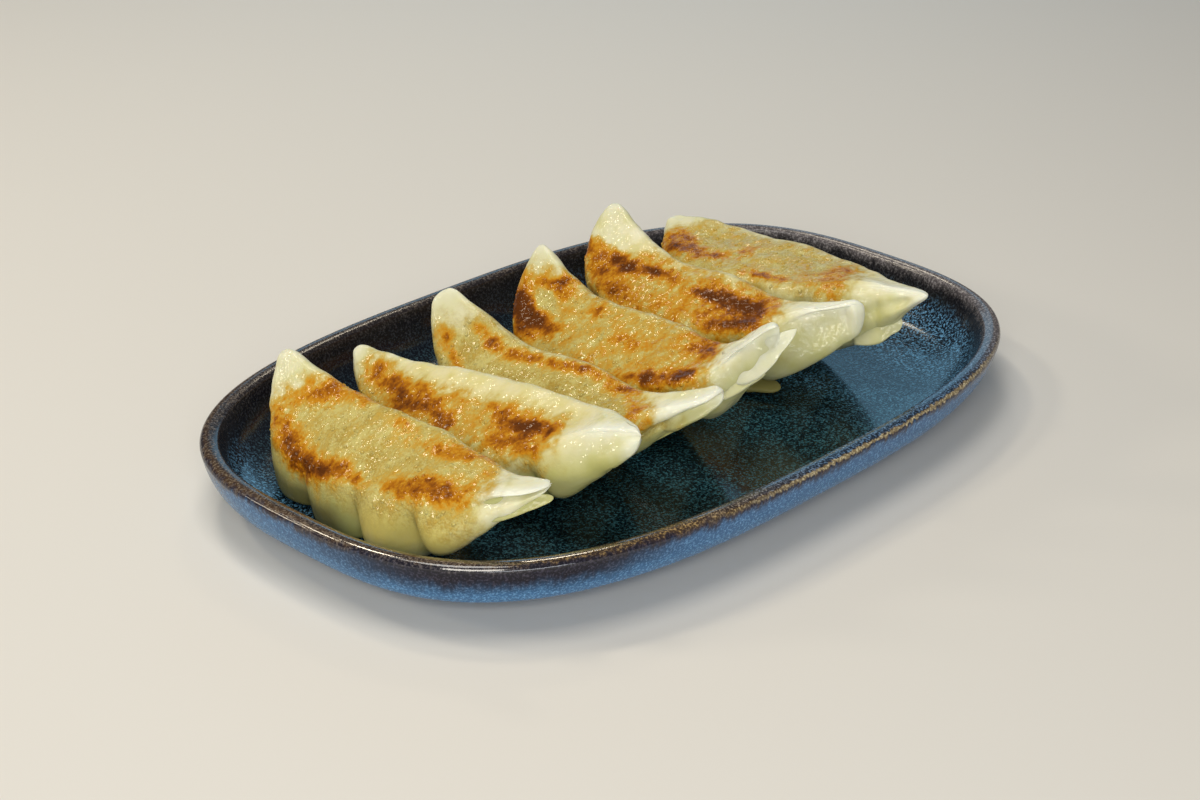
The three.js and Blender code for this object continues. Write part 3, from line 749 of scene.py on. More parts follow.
def thin_at(s, v):
    """Where the wrapper is one white layer: the pinched edge at the near tip, and both ends."""
    edge = v[:, FACE_POINTS - 1:FACE_POINTS]
    rim = smoothstep(s, *PINCHED_RIM)[:, None] * np.exp(-((v - edge) / RIM_REACH) ** 2)
    return np.maximum(rim, ENDS_WHITE * smoothstep(np.abs(s), *THIN_ENDS)[:, None])


def toast_at(plan, u, v):
    """How hard the pan has toasted each point."""
    total = np.full_like(u, plan["all_over"])
    for along, across, ru, rv, strength in plan["spots"]:
        total += strength * np.exp(-(((u - along) / ru) ** 2 + ((v - across) / rv) ** 2))
    return total


first_u = (STATIONS * DUMPLINGS[0]["length"] / 2)[:, None]
first_crust = crust_depth(BROWNED[0], first_u, first_way)
print("middle of the first crust, mm from its border:", round(float(first_crust.max()), 1))


# %% [markdown]
# ## Loose layers of wrapper
# At the near tips the two layers of wrapper part, and corners of them stick out as thin leaves.
# They could be pulled out of the skin, but its rings would stretch, so each is a shell of its
# own. A leaf follows a curved line from its root inside the dumpling to its tip; it is widest
# past the root, and its tip is pointed or round.

# %% Leaves of wrapper
# piece: which dumpling. line: root, middle and tip. facing: where its broad side looks. pale:
# how white it is. Then how olive it is, with painted shade in it. cup: how far its edges curl up.
LEAVES = [
    {"piece": 0, "line": ((-91.3, -35.1, 22.8), (-87.5, -43.8, 26.7), (-80.5, -50.5, 29.2)),
     "half_width": 2.7, "thickness": 2.6, "tip": "round", "facing": (-0.75, -0.35, 0.55),
     "cup": 0.2, "pale": 0.1, "shaded_olive": 1.1},
    {"piece": 3, "line": ((-2.8, -34.5, 29.5), (-3.1, -46.1, 36.1), (4.3, -49.6, 42.6)),
     "half_width": 5.5, "thickness": 1.7, "tip": "pointed", "facing": (-0.85, -0.3, 0.42),
     "cup": 0.15, "pale": 0.5, "shaded_olive": 0.1},
    {"piece": 3, "line": ((-6, -30, 23), (-5.6, -40.6, 29.4), (0.9, -43.8, 30)),
     "half_width": 4.0, "thickness": 1.9, "tip": "pointed", "facing": (-0.8, -0.35, 0.5),
     "cup": 0.2, "pale": 0.1, "shaded_olive": 0.5},
    {"piece": 4, "line": ((32, -6, 7.6), (33.5, -13, 7.3), (36.8, -22, 7)),
     "half_width": 4.3, "thickness": 3.4, "tip": "round", "facing": (-0.3, -0.3, 0.9),
     "cup": 0.05, "pale": 0, "shaded_olive": 1.7},
    {"piece": 5, "line": ((56.5, -29, 19), (59.2, -37, 22.9), (62.6, -40.6, 24.3)),
     "half_width": 4.4, "thickness": 2.0, "tip": "round", "facing": (-0.75, -0.5, 0.4),
     "cup": 0.2, "pale": 0.1, "shaded_olive": 0.6},
]
LEAF_ROWS, LEAF_RING = 30, 28
LEAF_ROOT_WIDTH, LEAF_WIDEST = 0.72, 0.7
LEAF_THINNING = 0.35
LEAF_EDGE = 0.6


def unit(vectors):
    return vectors / np.linalg.norm(vectors, axis=1, keepdims=True)


def leaf_rings(leaf):
    root, middle, end = (np.array(p, float) for p in leaf["line"])
    t = np.sin(np.linspace(0.03, np.pi / 2 - 0.04, LEAF_ROWS))[:, None]
    spine = (1 - t) ** 2 * root + 2 * t * (1 - t) * middle + t ** 2 * end
    course = unit(2 * (1 - t) * (middle - root) + 2 * t * (end - middle))
    wide = unit(np.cross(course, np.array(leaf["facing"], float)))
    out = np.cross(wide, course)
    swell = LEAF_ROOT_WIDTH + (1 - LEAF_ROOT_WIDTH) * np.sin(np.pi * np.minimum(t / LEAF_WIDEST, 1))
    end_shape = (1 - t ** 5) ** 0.5 if leaf["tip"] == "round" else (1 - t ** 2.4) ** 0.85
    half = leaf["half_width"] * swell * end_shape
    thick = leaf["thickness"] / 2 * (1 - LEAF_THINNING * t) * np.minimum(1, (1 - t ** 6) ** 0.5)
    a = np.linspace(0, 2 * np.pi, LEAF_RING, endpoint=False)[None]
    side = half * np.cos(a)
    rise = thick * np.sign(np.sin(a)) * np.abs(np.sin(a)) ** LEAF_EDGE
    rise = rise + leaf["cup"] * half * np.cos(a) ** 2
    return spine[:, None] + side[:, :, None] * wide[:, None] + rise[:, :, None] * out[:, None]


print("leaves:", len(LEAVES))

# %% [markdown]
# Each dumpling and its leaves become one mesh of closed shells that pass into each other, as
# layers of dough do. Every point carries its five notes. A leaf lies off the fried face, so
# it has no toast and no oil of its own.

# %% Make the six skins
NOTES = ("crust", "toast", "oil", "thin", "belly_tone_and_shade")
OFF_THE_CRUST = -12


def skin_notes(d, plan, around):
    along = np.broadcast_to((STATIONS * d["length"] / 2)[:, None], around.shape)
    crust = crust_depth(plan, along, around)
    return (crust, toast_at(plan, along, around), oil_at(plan, along, crust),
            thin_at(STATIONS, around), belly_shade_at(plan, along, around))


def leaf_notes(leaf, shape):
    none = np.zeros(shape)
    return none + OFF_THE_CRUST, none, none, none + leaf["pale"], none + leaf["shaded_olive"]


def dumpling_skin(index):
    """The dumpling and its leaves as one mesh of closed shells, with its notes on every point."""
    d, plan = DUMPLINGS[index], BROWNED[index]
    rings, around = slices(d, STATIONS)
    shells, notes = [lay(d, STATIONS, rings)], [skin_notes(d, plan, around)]
    for leaf in LEAVES:
        if leaf["piece"] == index:
            shells.append(leaf_rings(leaf))
            notes.append(leaf_notes(leaf, shells[-1].shape[:2]))
    points, faces, columns = [], [], [[] for _ in NOTES]
    for shell, values in zip(shells, notes):
        start = sum(len(p) for p in points)
        faces += [tuple(start + i for i in face) for face in grid_faces(*shell.shape[:2])]
        points += [shell.reshape(-1, 3), [shell[0].mean(axis=0), shell[-1].mean(axis=0)]]
        for column, value in zip(columns, values):
            column += [value.ravel(), [value[0].mean(), value[-1].mean()]]
    mesh = mesh_from(f"dumpling_{index + 1}_skin", np.vstack(points), faces)
    for name, column in zip(NOTES, columns):
        note_on_points(mesh, name, np.concatenate(column))
    return mesh


skins = [dumpling_skin(index) for index in range(len(DUMPLINGS))]
print("skin faces:", [len(m.polygons) for m in skins])

# %% [markdown]
# Fried dough is rough like fine sandpaper, with low blisters where steam lifted it, and all of
# it ripples softly where nothing presses on it. That could be sculpted, but a tree does it the
# same way on all six: it pushes every point along its normal by noises, strong inside the
# crust, and then scatters small bubbles there.

# %% Helpers for a tree
def open_inputs(tree, inputs):
    """Names a tree's inputs and gives each its usual value."""
    tree.interface.new_socket("Geometry", in_out="INPUT", socket_type="NodeSocketGeometry")
    for name, (kind, value) in inputs.items():
        socket = tree.interface.new_socket(name, in_out="INPUT", socket_type=f"NodeSocket{kind}")
        if value is not None:
            socket.default_value = value
    tree.interface.new_socket("Geometry", in_out="OUTPUT", socket_type="NodeSocketGeometry")
    return tree.nodes.new("NodeGroupInput").outputs


def identifier(tree, name):
    return next(i.identifier for i in tree.interface.items_tree
                if i.item_type == "SOCKET" and i.in_out == "INPUT" and i.name == name)


def hand_out(recipe, geometry, finish):
    """Ends a tree: its result gets its finish and leaves."""
    done = recipe.add("GeometryNodeSetMaterial", {"Geometry": geometry, "Material": finish})
    ending = recipe.add("NodeGroupOutput")
    recipe.feed(ending.inputs[0], done.outputs[0])


def attribute_of(recipe, name):
    node = recipe.add("GeometryNodeInputNamedAttribute", {"Name": name}, data_type="FLOAT")
    return node.outputs["Attribute"]


def waves(recipe, spacing, detail, seed):
    """Noise from about -0.5 to 0.5 with bumps one spacing apart."""
    scale = recipe.math("DIVIDE", 1.0, spacing)
    sizes = {"Scale": scale, "Detail": detail}
    node = recipe.add("ShaderNodeTexNoise", sizes, noise_dimensions="4D")
    recipe.feed(node.inputs["W"], seed)
    return recipe.math("SUBTRACT", node.outputs[0], 0.5)


# %% Tree for the fried surface: relief
fried_tree = bpy.data.node_groups.new("fried_surface", "GeometryNodeTree")
g = Recipe(fried_tree)
given = open_inputs(fried_tree, {
    "Blister height": ("Float", 0.45 * MM), "Blister spacing": ("Float", 3.2 * MM),
    "Grain height": ("Float", 0.16 * MM), "Grain spacing": ("Float", 1.1 * MM),
    "Ripple height": ("Float", 1.7 * MM), "Ripple spacing": ("Float", 8 * MM),
    "Still below": ("Float", 14 * MM), "Bubbles per m2": ("Float", 100000.0),
    "Bubble size": ("Float", 0.5 * MM), "Seed": ("Int", 1), "Finish": ("Material", None),
})
# The crust's relief grows between these two depths in it, in millimetres. Dough that lies
# still keeps a share of its ripple, and has all of it from this many times that height.
CRUST_BEGINS = (-1.5, 2.0)
STILL_SHARE, FREE_ABOVE = 0.15, 1.6
SEEDS_APART = 7.3

crusty = g.fade(attribute_of(g, "crust"), *CRUST_BEGINS)
still = given["Still below"]
seed = g.times(given["Seed"], SEEDS_APART)
blister = g.times(waves(g, given["Blister spacing"], 1.0, seed), given["Blister height"])
grain = g.times(waves(g, given["Grain spacing"], 2.0, seed), given["Grain height"])
height = g.parts(g.add("GeometryNodeInputPosition").outputs[0])["Z"]
free = g.fade(height, still, g.times(still, FREE_ABOVE), STILL_SHARE, 1.0)
ripple = g.times(waves(g, given["Ripple spacing"], 1.0, seed), given["Ripple height"])
push = g.plus(g.times(g.plus(blister, grain), crusty), g.times(ripple, free))
offset = g.vector("SCALE", g.add("GeometryNodeInputNormal").outputs[0], push)
rough = g.add("GeometryNodeSetPosition", {"Geometry": given["Geometry"], "Offset": offset})
print("nodes so far:", len(fried_tree.nodes))

# %% [markdown]
# The bubbles are half-sunk flattened beads, each of its own size. They sit on points that are
# scattered over the rough face, thickest well inside the crust.

# %% Tree for the fried surface: bubbles
BUBBLES_BEGIN = (0.0, 3.0)
SMALLEST, LARGEST, FLATNESS = 0.35, 1.15, 0.55

density = g.times(g.fade(attribute_of(g, "crust"), *BUBBLES_BEGIN), given["Bubbles per m2"])
seeds = g.add("GeometryNodeDistributePointsOnFaces", {
    "Mesh": rough.outputs[0], "Density": density, "Seed": given["Seed"],
}, distribute_method="RANDOM")
bead = g.add("GeometryNodeMeshIcoSphere", {"Radius": given["Bubble size"], "Subdivisions": 2})
chance = g.add(
    "FunctionNodeRandomValue", {2: SMALLEST, 3: LARGEST, "Seed": given["Seed"]}, data_type="FLOAT")
size = chance.outputs[1]
flat = g.add("ShaderNodeCombineXYZ", {"X": size, "Y": size, "Z": g.times(size, FLATNESS)})
bubbles = g.add("GeometryNodeInstanceOnPoints", {
    "Points": seeds.outputs["Points"], "Instance": bead.outputs["Mesh"],
    "Rotation": seeds.outputs["Rotation"], "Scale": flat.outputs[0]})
solid_bubbles = g.add("GeometryNodeRealizeInstances", {"Geometry": bubbles.outputs[0]})
smooth_bubbles = g.add("GeometryNodeSetShadeSmooth", {"Geometry": solid_bubbles.outputs[0]})
both = g.add("GeometryNodeJoinGeometry")
for part in (smooth_bubbles, rough):
    fried_tree.links.new(part.outputs[0], both.inputs[0])
hand_out(g, both.outputs[0], given["Finish"])
print("nodes in the tree:", len(fried_tree.nodes))

# %% [markdown]
# The tree has to be turned into a plain mesh before the piece is handed over: the modifier is
# set up, Blender works it out once, the result is copied and the modifier is thrown away.

# %% Helper that applies a tree
def grown(name, mesh, tree, values):
    """An object with the tree's result as its own mesh."""
    base = place(name, mesh)
    step = base.modifiers.new("nodes", "NODES")
    step.node_group = tree
    for key, value in values.items():
        step[identifier(tree, key)] = value
    bpy.context.view_layer.update()
    looked_at = base.evaluated_get(bpy.context.evaluated_depsgraph_get())
    result = bpy.data.meshes.new_from_object(looked_at)
    base.modifiers.remove(step)
    base.data = result
    result.name = name
    return base


# %% [markdown]
# ## Finish of the dough
# Bare dough is cream white where thin and olive yellow where it is thick and wet, and shade is
# painted on its belly below the face, deepest in a recess and on leaves that lie in shadow. A
# painted picture would show its pixels up close, so the colour is mixed from noises and from
# the notes on the points. The broad noises are drawn out a little, as the wrapper was when it
# was rolled.

# %% Bare dough
CREAM = (0.77, 0.76, 0.57, 1)
WHITE = (0.81, 0.84, 0.74, 1)
OLIVE = (0.63, 0.62, 0.31, 1)
OILED = (0.68, 0.56, 0.15, 1)
# The belly's olive with painted shade, and a deep painted shade for a recess and for leaves in
# shadow.
BELLY_OLIVE_AND_SHADE = (0.48, 0.48, 0.17, 1)
PAINTED_DEEP_SHADE = (0.20, 0.18, 0.06, 1)
ROLLED_OUT = (0.93, 1.04, 0.93)
# Bumps in a metre, from the broadest noise to the finest.
CLOUDS, PATCHES, BEADS, FLECKS, PITS = 135.0, 300.0, 780.0, 1050.0, 2300.0

dough, r, shader, spot = finish_named("fried_dough")
crust, toast, oil, thin, belly_tone_and_shade = (
    r.add("ShaderNodeAttribute", attribute_name=name).outputs["Fac"] for name in NOTES)
drawn_across = r.vector("MULTIPLY", spot, ROLLED_OUT)
clouds = r.noise(CLOUDS, 2.0, at=drawn_across, lift=0.5)
patches = r.noise(PATCHES, 2.0, 0.5, at=drawn_across, lift=0.5)
flecks = r.noise(FLECKS, 2.0, 0.6, at=spot, lift=0.5)
pits = r.noise(PITS, 1.0, at=spot, lift=0.5)

bare = r.blend(r.fade(r.plus(clouds, r.times(patches, 0.4)), -0.2, 0.35), CREAM, OLIVE)
bare = r.blend(r.plus(oil, r.times(patches, 0.3), clamp=True), bare, OILED)
# Painted shade: below the face the belly darkens, and where its note passes one it darkens further
# toward the deep painted shade.
olive_and_shade = r.plus(belly_tone_and_shade, r.times(clouds, 0.5))
bare = r.blend(r.plus(olive_and_shade, 0.0, clamp=True), bare, BELLY_OLIVE_AND_SHADE)
bare = r.blend(r.math("SUBTRACT", olive_and_shade, 1.0, clamp=True), bare, PAINTED_DEEP_SHADE)
bare = r.blend(thin, bare, WHITE)
print("nodes for bare dough:", len(dough.node_tree.nodes))

# %% [markdown]
# The fried face is golden tan with a fine sandy grain. Its border isn't a line: it wanders by
# a few millimetres and fades over several more. On it, heat runs from amber through brown to
# nearly black-brown. Mottling breaks up every spot, and less so where the dough is only gold.

# %% Golden face and brown spots
GOLD = (0.57, 0.50, 0.18, 1)
TAN = (0.37, 0.25, 0.04, 1)
BORDER_WANDERS = 7.0
BORDER = (-4.0, 4.5)
HEAT_TO_BROWN = 0.52
BROWNS = (
    (0.0, (0.56, 0.45, 0.13)), (0.18, (0.54, 0.35, 0.06)), (0.38, (0.54, 0.24, 0.010)),
    (0.60, (0.36, 0.12, 0.003)), (0.82, (0.19, 0.054, 0.003)), (1.0, (0.11, 0.029, 0.002)),
)

fried = r.fade(r.plus(crust, r.times(patches, BORDER_WANDERS)), *BORDER)
sandy = r.plus(r.plus(clouds, patches), r.plus(flecks, r.times(pits, 0.9)))
golden = r.blend(r.fade(sandy, -0.35, 0.42), GOLD, TAN)
surface = r.blend(fried, bare, golden)

mottle = r.plus(r.times(patches, 2.3), r.times(flecks, 1.5))
mottle = r.times(mottle, r.fade(toast, 0.0, 0.8, 0.35, 1.0))
heat = r.times(r.plus(toast, mottle), fried)
browns = r.ramp(r.times(heat, HEAT_TO_BROWN), *BROWNS)
surface = r.blend(r.fade(heat, -0.05, 0.4), surface, browns)
r.feed(shader["Base Color"], surface)
print("browns:", len(BROWNS), "nodes:", len(dough.node_tree.nodes))

# %% [markdown]
# The oil that stays on the dough is a clear coat over a dull base, a little thinner on the
# brown spots. Light goes a short way into pale dough, and hardly into the crust. Two reliefs
# are too fine for the mesh: the grain of the crust under the oil, and the beads of the oil
# itself, which break each highlight into many small glints.

# %% Oil and fine relief
GRAIN_RELIEF = 0.6 * MM
BEAD_RELIEF = 0.38 * MM

shader["Roughness"].default_value = 0.6
shader["Specular IOR Level"].default_value = 0.04
r.feed(shader["Coat Weight"], r.fade(heat, 0.3, 1.1, 0.5, 0.36))
shader["Coat Roughness"].default_value = 0.1
r.feed(shader["Subsurface Weight"], r.fade(heat, 0.0, 0.6, 0.2, 0.04))
shader["Subsurface Radius"].default_value = (1, 0.75, 0.4)
shader["Subsurface Scale"].default_value = 2 * MM
grains = r.times(r.plus(flecks, r.times(pits, 0.5)), r.plus(fried, 0.1))
grains = r.plus(grains, r.times(patches, 0.35))
r.feed(shader["Normal"], r.bump(grains, 0.6, GRAIN_RELIEF))
beads = r.noise(BEADS, 0.5, at=spot)
r.feed(shader["Coat Normal"], r.bump(beads, 1.0, BEAD_RELIEF))
print("nodes in the dough's finish:", len(dough.node_tree.nodes))

# %% [markdown]
# Now the tree grows its crust on each skin. The seed differs from one to the next, so that no
# two dumplings have the same blisters, and each finished piece takes the place of its solid.

# %% Grow the crust on every dumpling
dumplings = []
for index, skin in enumerate(skins):
    values = {"Seed": index + 1, "Finish": dough}
    piece = grown(f"dumpling_{index + 1}_skin", skin, fried_tree, values)
    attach(piece, "root")
    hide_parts(f"dumpling_{index + 1}")
    dumplings.append(piece)
print("dumpling triangles:", [sum(len(p.vertices) - 2 for p in d.data.polygons) for d in dumplings])

# %% [markdown]
# ## The plate
# The plate is one profile carried round one outline, so it is swept: a rounded rectangle, a
# superellipse, is the path, and the profile goes from under the foot round the lip to the
# floor. A potter's template works the same way. The middle is closed above and below.

# %% Plate sizes
PLATE_HEIGHT = 17.5
LIP_WIDTH = 4.7
FOOT_INSET = 20.0
FOOT_WIDTH = 4.0
FOOT_DEPTH = 1.2
FOOT_BEVEL = 0.6
SMOOTHING = 5

# Inset from the outline and height, from under the plate, over its lip and down to its floor.
TEMPLATE = [
    (FOOT_INSET + FOOT_WIDTH + FOOT_BEVEL, FOOT_DEPTH), (FOOT_INSET + FOOT_WIDTH, 0),
    (FOOT_INSET + FOOT_BEVEL, 0), (FOOT_INSET, FOOT_DEPTH),
    (14, 2.3), (9, 4), (5.1, 6), (2.6, 9), (1, 12.3), (0.2, 15.2),
    (0, PLATE_HEIGHT - 1.3), (0.45, PLATE_HEIGHT - 0.4),
    (0.3 * LIP_WIDTH, PLATE_HEIGHT), (0.6 * LIP_WIDTH, PLATE_HEIGHT),
    (0.9 * LIP_WIDTH, PLATE_HEIGHT - 0.5), (LIP_WIDTH, PLATE_HEIGHT - 1.6),
    (LIP_WIDTH + 0.9, PLATE_HEIGHT - 4.5), (LIP_WIDTH + 2.4, PLATE_FLOOR + 5.4),
    (LIP_WIDTH + 5, PLATE_FLOOR + 2.6), (LIP_WIDTH + 9, PLATE_FLOOR + 0.8),
    (LIP_WIDTH + 14, PLATE_FLOOR),
]


def rounded(points, steps):
    """A smooth line through the points, with extra ones between."""
    points = np.array(points, float)
    line = []
    for i in range(len(points) - 1):
        before, after = points[max(i - 1, 0)], points[min(i + 2, len(points) - 1)]
        a, b = points[i], points[i + 1]
        pull_a, pull_b = (b - before) / 2, (after - a) / 2
        limit = np.linalg.norm(b - a)
        pull_a *= min(1, limit / max(np.linalg.norm(pull_a), 1e-6))
        pull_b *= min(1, limit / max(np.linalg.norm(pull_b), 1e-6))
        for t in np.arange(steps) / steps:
            line.append((2 * t ** 3 - 3 * t ** 2 + 1) * a + (t ** 3 - 2 * t ** 2 + t) * pull_a
                        + (3 * t ** 2 - 2 * t ** 3) * b + (t ** 3 - t ** 2) * pull_b)
    return np.array(line + [points[-1]])


template = rounded(TEMPLATE, SMOOTHING)
print("template points:", len(template))

# %% [markdown]
# The glaze changes with the way over the lip, so every point of the profile notes how far it
# is from the lip's top: less than nothing on the outer wall, more on the inner one. A picture
# of the glaze would have to be fitted round the plate; this note fits by itself.

# %% Profile with its note
LIP_TOP = 0.45

from_top = np.hypot(template[:, 0] - LIP_TOP * LIP_WIDTH, template[:, 1] - PLATE_HEIGHT)
lip_top = int(np.argmin(from_top))
gone = np.concatenate([[0], np.cumsum(np.linalg.norm(np.diff(template, axis=0), axis=1))])
profile_mesh = bpy.data.meshes.new("plate_template")
drawn = [(-x * MM, -max(z, 0) * MM, 0) for x, z in template[::-1]]
profile_mesh.from_pydata(drawn, [(i, i + 1) for i in range(len(drawn) - 1)], [])
note_on_points(profile_mesh, "from_lip", (gone - gone[lip_top])[::-1])
print("way over the profile, mm:", round(float(gone[-1]), 1))

# %% [markdown]
# The tree bends a circle into the outline, by raising sine and cosine to a power, and spaces
# its points evenly. The profile is then carried round it.

# %% Tree for the plate: sweep
FINE_CIRCLE = 1440

plate_tree = bpy.data.node_groups.new("swept_plate", "GeometryNodeTree")
g = Recipe(plate_tree)
given = open_inputs(plate_tree, {
    "Length": ("Float", PLATE_LENGTH * MM), "Width": ("Float", PLATE_WIDTH * MM),
    "Squareness": ("Float", PLATE_SQUARENESS), "Points round": ("Int", 320),
    "Finish": ("Material", None),
})


def squared(recipe, value, power, size):
    """Signed power of a sine or cosine, times half a size."""
    strong = recipe.math("POWER", recipe.math("ABSOLUTE", value), power)
    return recipe.times(recipe.times(recipe.math("SIGN", value), strong), recipe.times(size, 0.5))


circle = g.add("GeometryNodeCurvePrimitiveCircle", {"Resolution": FINE_CIRCLE, "Radius": 1.0})
parts = g.parts(g.add("GeometryNodeInputPosition").outputs[0])
power = g.math("DIVIDE", 2.0, given["Squareness"])
bent = g.add("ShaderNodeCombineXYZ", {
    "X": squared(g, parts["X"], power, given["Length"]),
    "Y": squared(g, parts["Y"], power, given["Width"])})
outline = g.add("GeometryNodeSetPosition", {
    "Geometry": circle.outputs[0], "Position": bent.outputs[0]})
even = g.add("GeometryNodeResampleCurve", {
    "Curve": outline.outputs[0], "Count": given["Points round"]})
upright = g.add("GeometryNodeSetCurveNormal", {"Curve": even.outputs[0]}, mode="Z_UP")
line = g.add("GeometryNodeMeshToCurve", {"Mesh": given["Geometry"]})
swept = g.add("GeometryNodeCurveToMesh", {
    "Curve": upright.outputs[0], "Profile Curve": line.outputs[0]})
print("nodes so far:", len(plate_tree.nodes))

# %% [markdown]
# The sweep leaves a hole in the floor and one under the foot. Their free edges are drawn
# inward in three steps, which leaves even rings of faces, and merged to a point in the middle.

# %% Tree for the plate: middle
INWARD_STEPS = (0.7, 0.4, 0.0)
MERGE_WITHIN = 1e-6

growing = swept.outputs[0]
for share in INWARD_STEPS:
    neighbours = g.add("GeometryNodeInputMeshEdgeNeighbors").outputs[0]
    lone = g.add(
        "FunctionNodeCompare", {0: neighbours, 1: 1.0}, data_type="FLOAT", operation="EQUAL")
    widened = g.add("GeometryNodeExtrudeMesh", {
        "Mesh": growing, "Selection": lone.outputs[0], "Offset Scale": 0.0}, mode="EDGES")
    inward = g.vector("MULTIPLY", g.add("GeometryNodeInputPosition").outputs[0], (share, share, 1))
    growing = g.add("GeometryNodeSetPosition", {
        "Geometry": widened.outputs["Mesh"], "Selection": widened.outputs["Top"],
        "Position": inward}).outputs[0]
closed = g.add("GeometryNodeMergeByDistance", {"Geometry": growing, "Distance": MERGE_WITHIN})
smooth = g.add("GeometryNodeSetShadeSmooth", {"Geometry": closed.outputs[0]})
real = g.add("GeometryNodeRealizeInstances", {"Geometry": smooth.outputs[0]})
hand_out(g, real.outputs[0], given["Finish"])
print("nodes in the tree:", len(plate_tree.nodes))

# %% [markdown]
# ## Finish of the plate
# The glaze is blue where thick and breaks to brown and ochre where it runs thin over the lip.
# Two colours share every place: a deep one and that of the fine grain floating in it. Both are
# painted by the way from the top of the lip. A noise makes the borders wander, and one drawn
# out downward makes them run in drips.

# %% Two colours along the profile
DRIPS_DOWNWARD = (1, 1, 0.12)
DRIFT, DRIPS, SPECKLE = 160.0, 900.0, 1650.0
# A ramp runs from 0 to 1: its middle is the top of the lip, its ends half this way from it.
PROFILE_WAY = 48.0
DEEP = (
    (0.0, (0.06, 0.17, 0.35)), (0.25, (0.055, 0.16, 0.33)), (0.40, (0.045, 0.12, 0.26)),
    (0.437, (0.014, 0.016, 0.035)), (0.475, (0.06, 0.034, 0.018)), (0.515, (0.028, 0.022, 0.02)),
    (0.59, (0.01, 0.009, 0.012)), (0.75, (0.003, 0.007, 0.013)), (0.92, (0.001, 0.006, 0.011)),
)
GRAIN = (
    (0.0, (0.15, 0.37, 0.68)), (0.25, (0.15, 0.36, 0.65)), (0.40, (0.12, 0.27, 0.50)),
    (0.437, (0.05, 0.05, 0.09)), (0.455, (0.12, 0.08, 0.06)), (0.478, (0.46, 0.31, 0.11)),
    (0.50, (0.32, 0.21, 0.09)), (0.535, (0.09, 0.08, 0.075)), (0.61, (0.035, 0.036, 0.042)),
    (0.75, (0.024, 0.05, 0.07)), (0.92, (0.034, 0.12, 0.155)),
)

glaze, r, shader, spot = finish_named("speckled_glaze")
way = r.add("ShaderNodeAttribute", attribute_name="from_lip").outputs["Fac"]
drift = r.noise(DRIFT, 4.0, 0.6, at=spot, lift=0.5)
drips = r.noise(DRIPS, 2.0, 0.5, at=r.vector("MULTIPLY", spot, DRIPS_DOWNWARD), lift=0.5)
fine = r.noise(SPECKLE, 2.0, 0.65, at=spot, lift=0.5)
wander = r.plus(way, r.plus(r.times(drift, 5.0), r.times(drips, 3.0)))
place_on_profile = r.plus(r.math("DIVIDE", wander, PROFILE_WAY), 0.5, clamp=True)
deep = r.ramp(place_on_profile, *DEEP)
grain = r.ramp(place_on_profile, *GRAIN)
print("stops:", len(DEEP), "and", len(GRAIN))

# %% [markdown]
# A kiln heats one side of a pot more than the other, so the glaze also changes along the rim.
# Each mark below is a share from 0 to 1, made from the place on the plate and the way over the
# lip, and covers both colours. The first is a burnt band under the lip: it is dark at the left
# of the front and all along the back, and thins away under the lip's top.

# %% Burnt band under the lip
# A shader reads places in metres, and the way over the lip in millimetres, as it was noted.
BURNT_DEEP, BURNT_GRAIN = (0.010, 0.009, 0.016, 1), (0.042, 0.038, 0.06, 1)

x, y, _ = r.parts(spot)
front = r.fade(y, -62 * MM, -45 * MM, 1.0, 0.0)
right = r.fade(x, -60 * MM, 0.0)
left = r.fade(x, -80 * MM, -45 * MM, 1.0, 0.0)
left_of_front = r.times(left, r.fade(y, -40 * MM, 10 * MM, 1.0, 0.0))
burnt = r.math("MAXIMUM", left_of_front, r.fade(y, 20 * MM, 45 * MM))
burnt = r.times(burnt, r.fade(wander, -11.5, -5.0))
burnt = r.times(burnt, r.fade(wander, -2.5, -1.0, 1.0, 0.25))
deep = r.blend(burnt, deep, BURNT_DEEP)
grain = r.blend(burnt, grain, BURNT_GRAIN)
print("nodes so far:", len(glaze.node_tree.nodes))

# %% [markdown]
# At the right of the front the glaze pooled blue inside the lip, and a pale gold line runs
# along the edge of that pool, on the top of the lip. Both follow a sharper edge than the rest.

# %% Blue inner lip and gold line
POOL_DEEP, POOL_GRAIN = (0.012, 0.022, 0.04, 1), (0.12, 0.25, 0.45, 1)
GOLD_DEEP, GOLD_GRAIN = (0.26, 0.20, 0.11, 1), (0.62, 0.55, 0.36, 1)

edge = r.plus(way, r.plus(r.times(drift, 1.0), r.times(drips, 2.0)))
inner_lip = r.times(r.fade(edge, -1.8, -1.2), r.fade(wander, 5.0, 8.0, 1.0, 0.0))
inner_blue = r.times(inner_lip, r.times(front, right))
grain = r.blend(r.times(inner_blue, 0.95), grain, POOL_GRAIN)
deep = r.blend(inner_blue, deep, POOL_DEEP)
rim = r.times(r.fade(wander, -4.0, -2.0), r.fade(wander, 0.8, 2.0, 1.0, 0.0))
gold_line = r.times(r.fade(edge, -2.8, -2.3), r.fade(edge, -1.9, -1.5, 1.0, 0.0))
gold_line = r.times(r.times(gold_line, right), front)
grain = r.blend(gold_line, grain, GOLD_GRAIN)
deep = r.blend(r.times(gold_line, 0.85), deep, GOLD_DEEP)
print("nodes so far:", len(glaze.node_tree.nodes))

# %% [markdown]
# Away from the front the rim is grey. Round the right end the lip is painted paler, a painted
# sheen of the light behind, and on the floor the grain is painted brighter blue toward both
# ends, a painted sheen where the floor reflects that light.

# %% Grey rim and painted sheen
RIM_GRAIN = (0.13, 0.115, 0.11, 1)
SHEEN_PALE_DEEP, SHEEN_PALE_GRAIN = (0.11, 0.10, 0.11, 1), (0.33, 0.31, 0.33, 1)
SHEEN_BLUE_GRAIN = (0.15, 0.39, 0.68, 1)

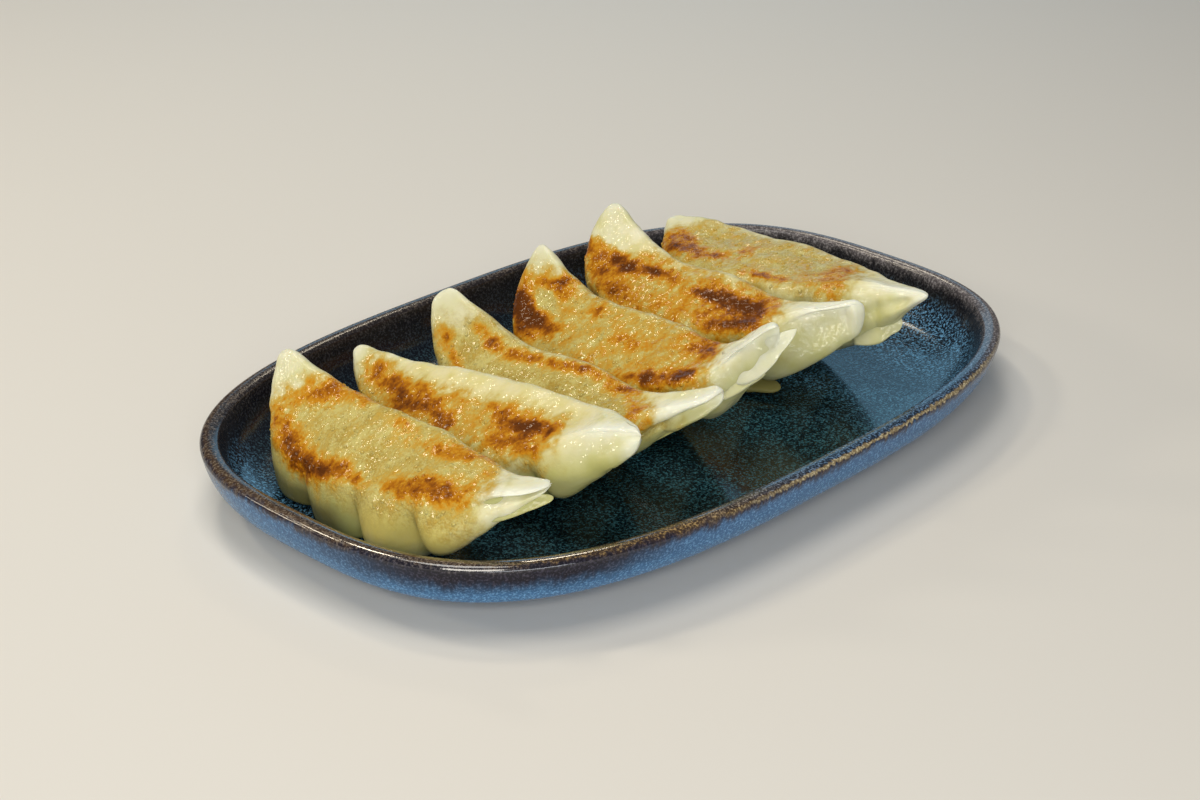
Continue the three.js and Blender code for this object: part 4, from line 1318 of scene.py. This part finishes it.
away_from_front = r.math("SUBTRACT", 0.75, front, clamp=True)
grain = r.blend(r.times(rim, away_from_front), grain, RIM_GRAIN)
# Painted sheen: the lip at the right end turns pale grey.
sheen_far_end = r.fade(x, 50 * MM, 95 * MM)
lip_band = r.times(r.fade(wander, -8.0, -4.0), r.fade(wander, 2.0, 5.0, 1.0, 0.0))
sheen_far_end = r.times(sheen_far_end, lip_band)
grain = r.blend(r.times(sheen_far_end, 0.8), grain, SHEEN_PALE_GRAIN)
deep = r.blend(r.times(sheen_far_end, 0.7), deep, SHEEN_PALE_DEEP)
# Painted sheen: the floor's grain turns brighter blue toward both ends.
sheen_at_ends = r.math("MAXIMUM", r.fade(x, 20 * MM, 110 * MM), r.fade(x, -98 * MM, -80 * MM, 1.0, 0.0))
on_floor = r.fade(wander, 6.0, 12.0, 0.0, 0.9)
grain = r.blend(r.times(sheen_at_ends, on_floor), grain, SHEEN_BLUE_GRAIN)
r.feed(shader["Base Color"], r.blend(r.fade(fine, -0.04, 0.16), deep, grain))
print("nodes so far:", len(glaze.node_tree.nodes))

# %% [markdown]
# Fired glaze is glass, so it gets a smooth clear coat over a rougher base. The coat is weak on
# the outer wall, fuller inside, and strongest on the lip at the left of the front, where the
# glaze ran thin and clear. A fine relief keeps reflections from being perfect.

# %% Gloss of the glaze
GLAZE_RELIEF = 0.5 * MM

r.feed(shader["Roughness"], r.fade(fine, -0.3, 0.3, 0.14, 0.3))
shader["Specular IOR Level"].default_value = 0.12
on_lip = r.times(r.fade(way, -3.5, -2.2), r.fade(way, 1.2, 2.2, 0.75, 0.0))
front_left = r.times(
    r.fade(y, -20 * MM, 10 * MM, 1.0, 0.0), r.fade(x, -70 * MM, -30 * MM, 1.0, 0.0))
glossy_lip = r.times(on_lip, front_left)
r.feed(shader["Coat Weight"], r.plus(r.fade(wander, -7.0, -1.0, 0.1, 0.3), glossy_lip))
shader["Coat IOR"].default_value = 1.7
shader["Coat Roughness"].default_value = 0.06
r.feed(shader["Normal"], r.bump(r.plus(fine, r.times(drift, 2.0)), 0.12, GLAZE_RELIEF))
r.feed(shader["Coat Normal"], r.bump(fine, 0.04, GLAZE_RELIEF))
print("nodes in the glaze:", len(glaze.node_tree.nodes))

# %% [markdown]
# The tree sweeps the profile with its finish on, and the plate takes the place of its solid.

# %% Sweep the plate
plate = grown("plate_glazed", profile_mesh, plate_tree, {"Finish": glaze})
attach(plate, "root")
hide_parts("plate")
low, high = (Vector(f(v.co[k] for v in plate.data.vertices) for k in range(3)) for f in (min, max))
print("plate, mm:", [round(1000 * x, 2) for x in low], [round(1000 * x, 2) for x in high])

# %% [markdown]
# Last, the box of the dressed model is set beside the box of the solids, and how much it grew
# is printed. Dressing must not make the food bigger.

# %% Sizes after dressing
new_low, new_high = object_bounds()
growth = [round(1000 * (x - y), 2) for x, y in zip([*new_low, *new_high], [*cad_low, *cad_high])]
print("grown by, mm:", growth)
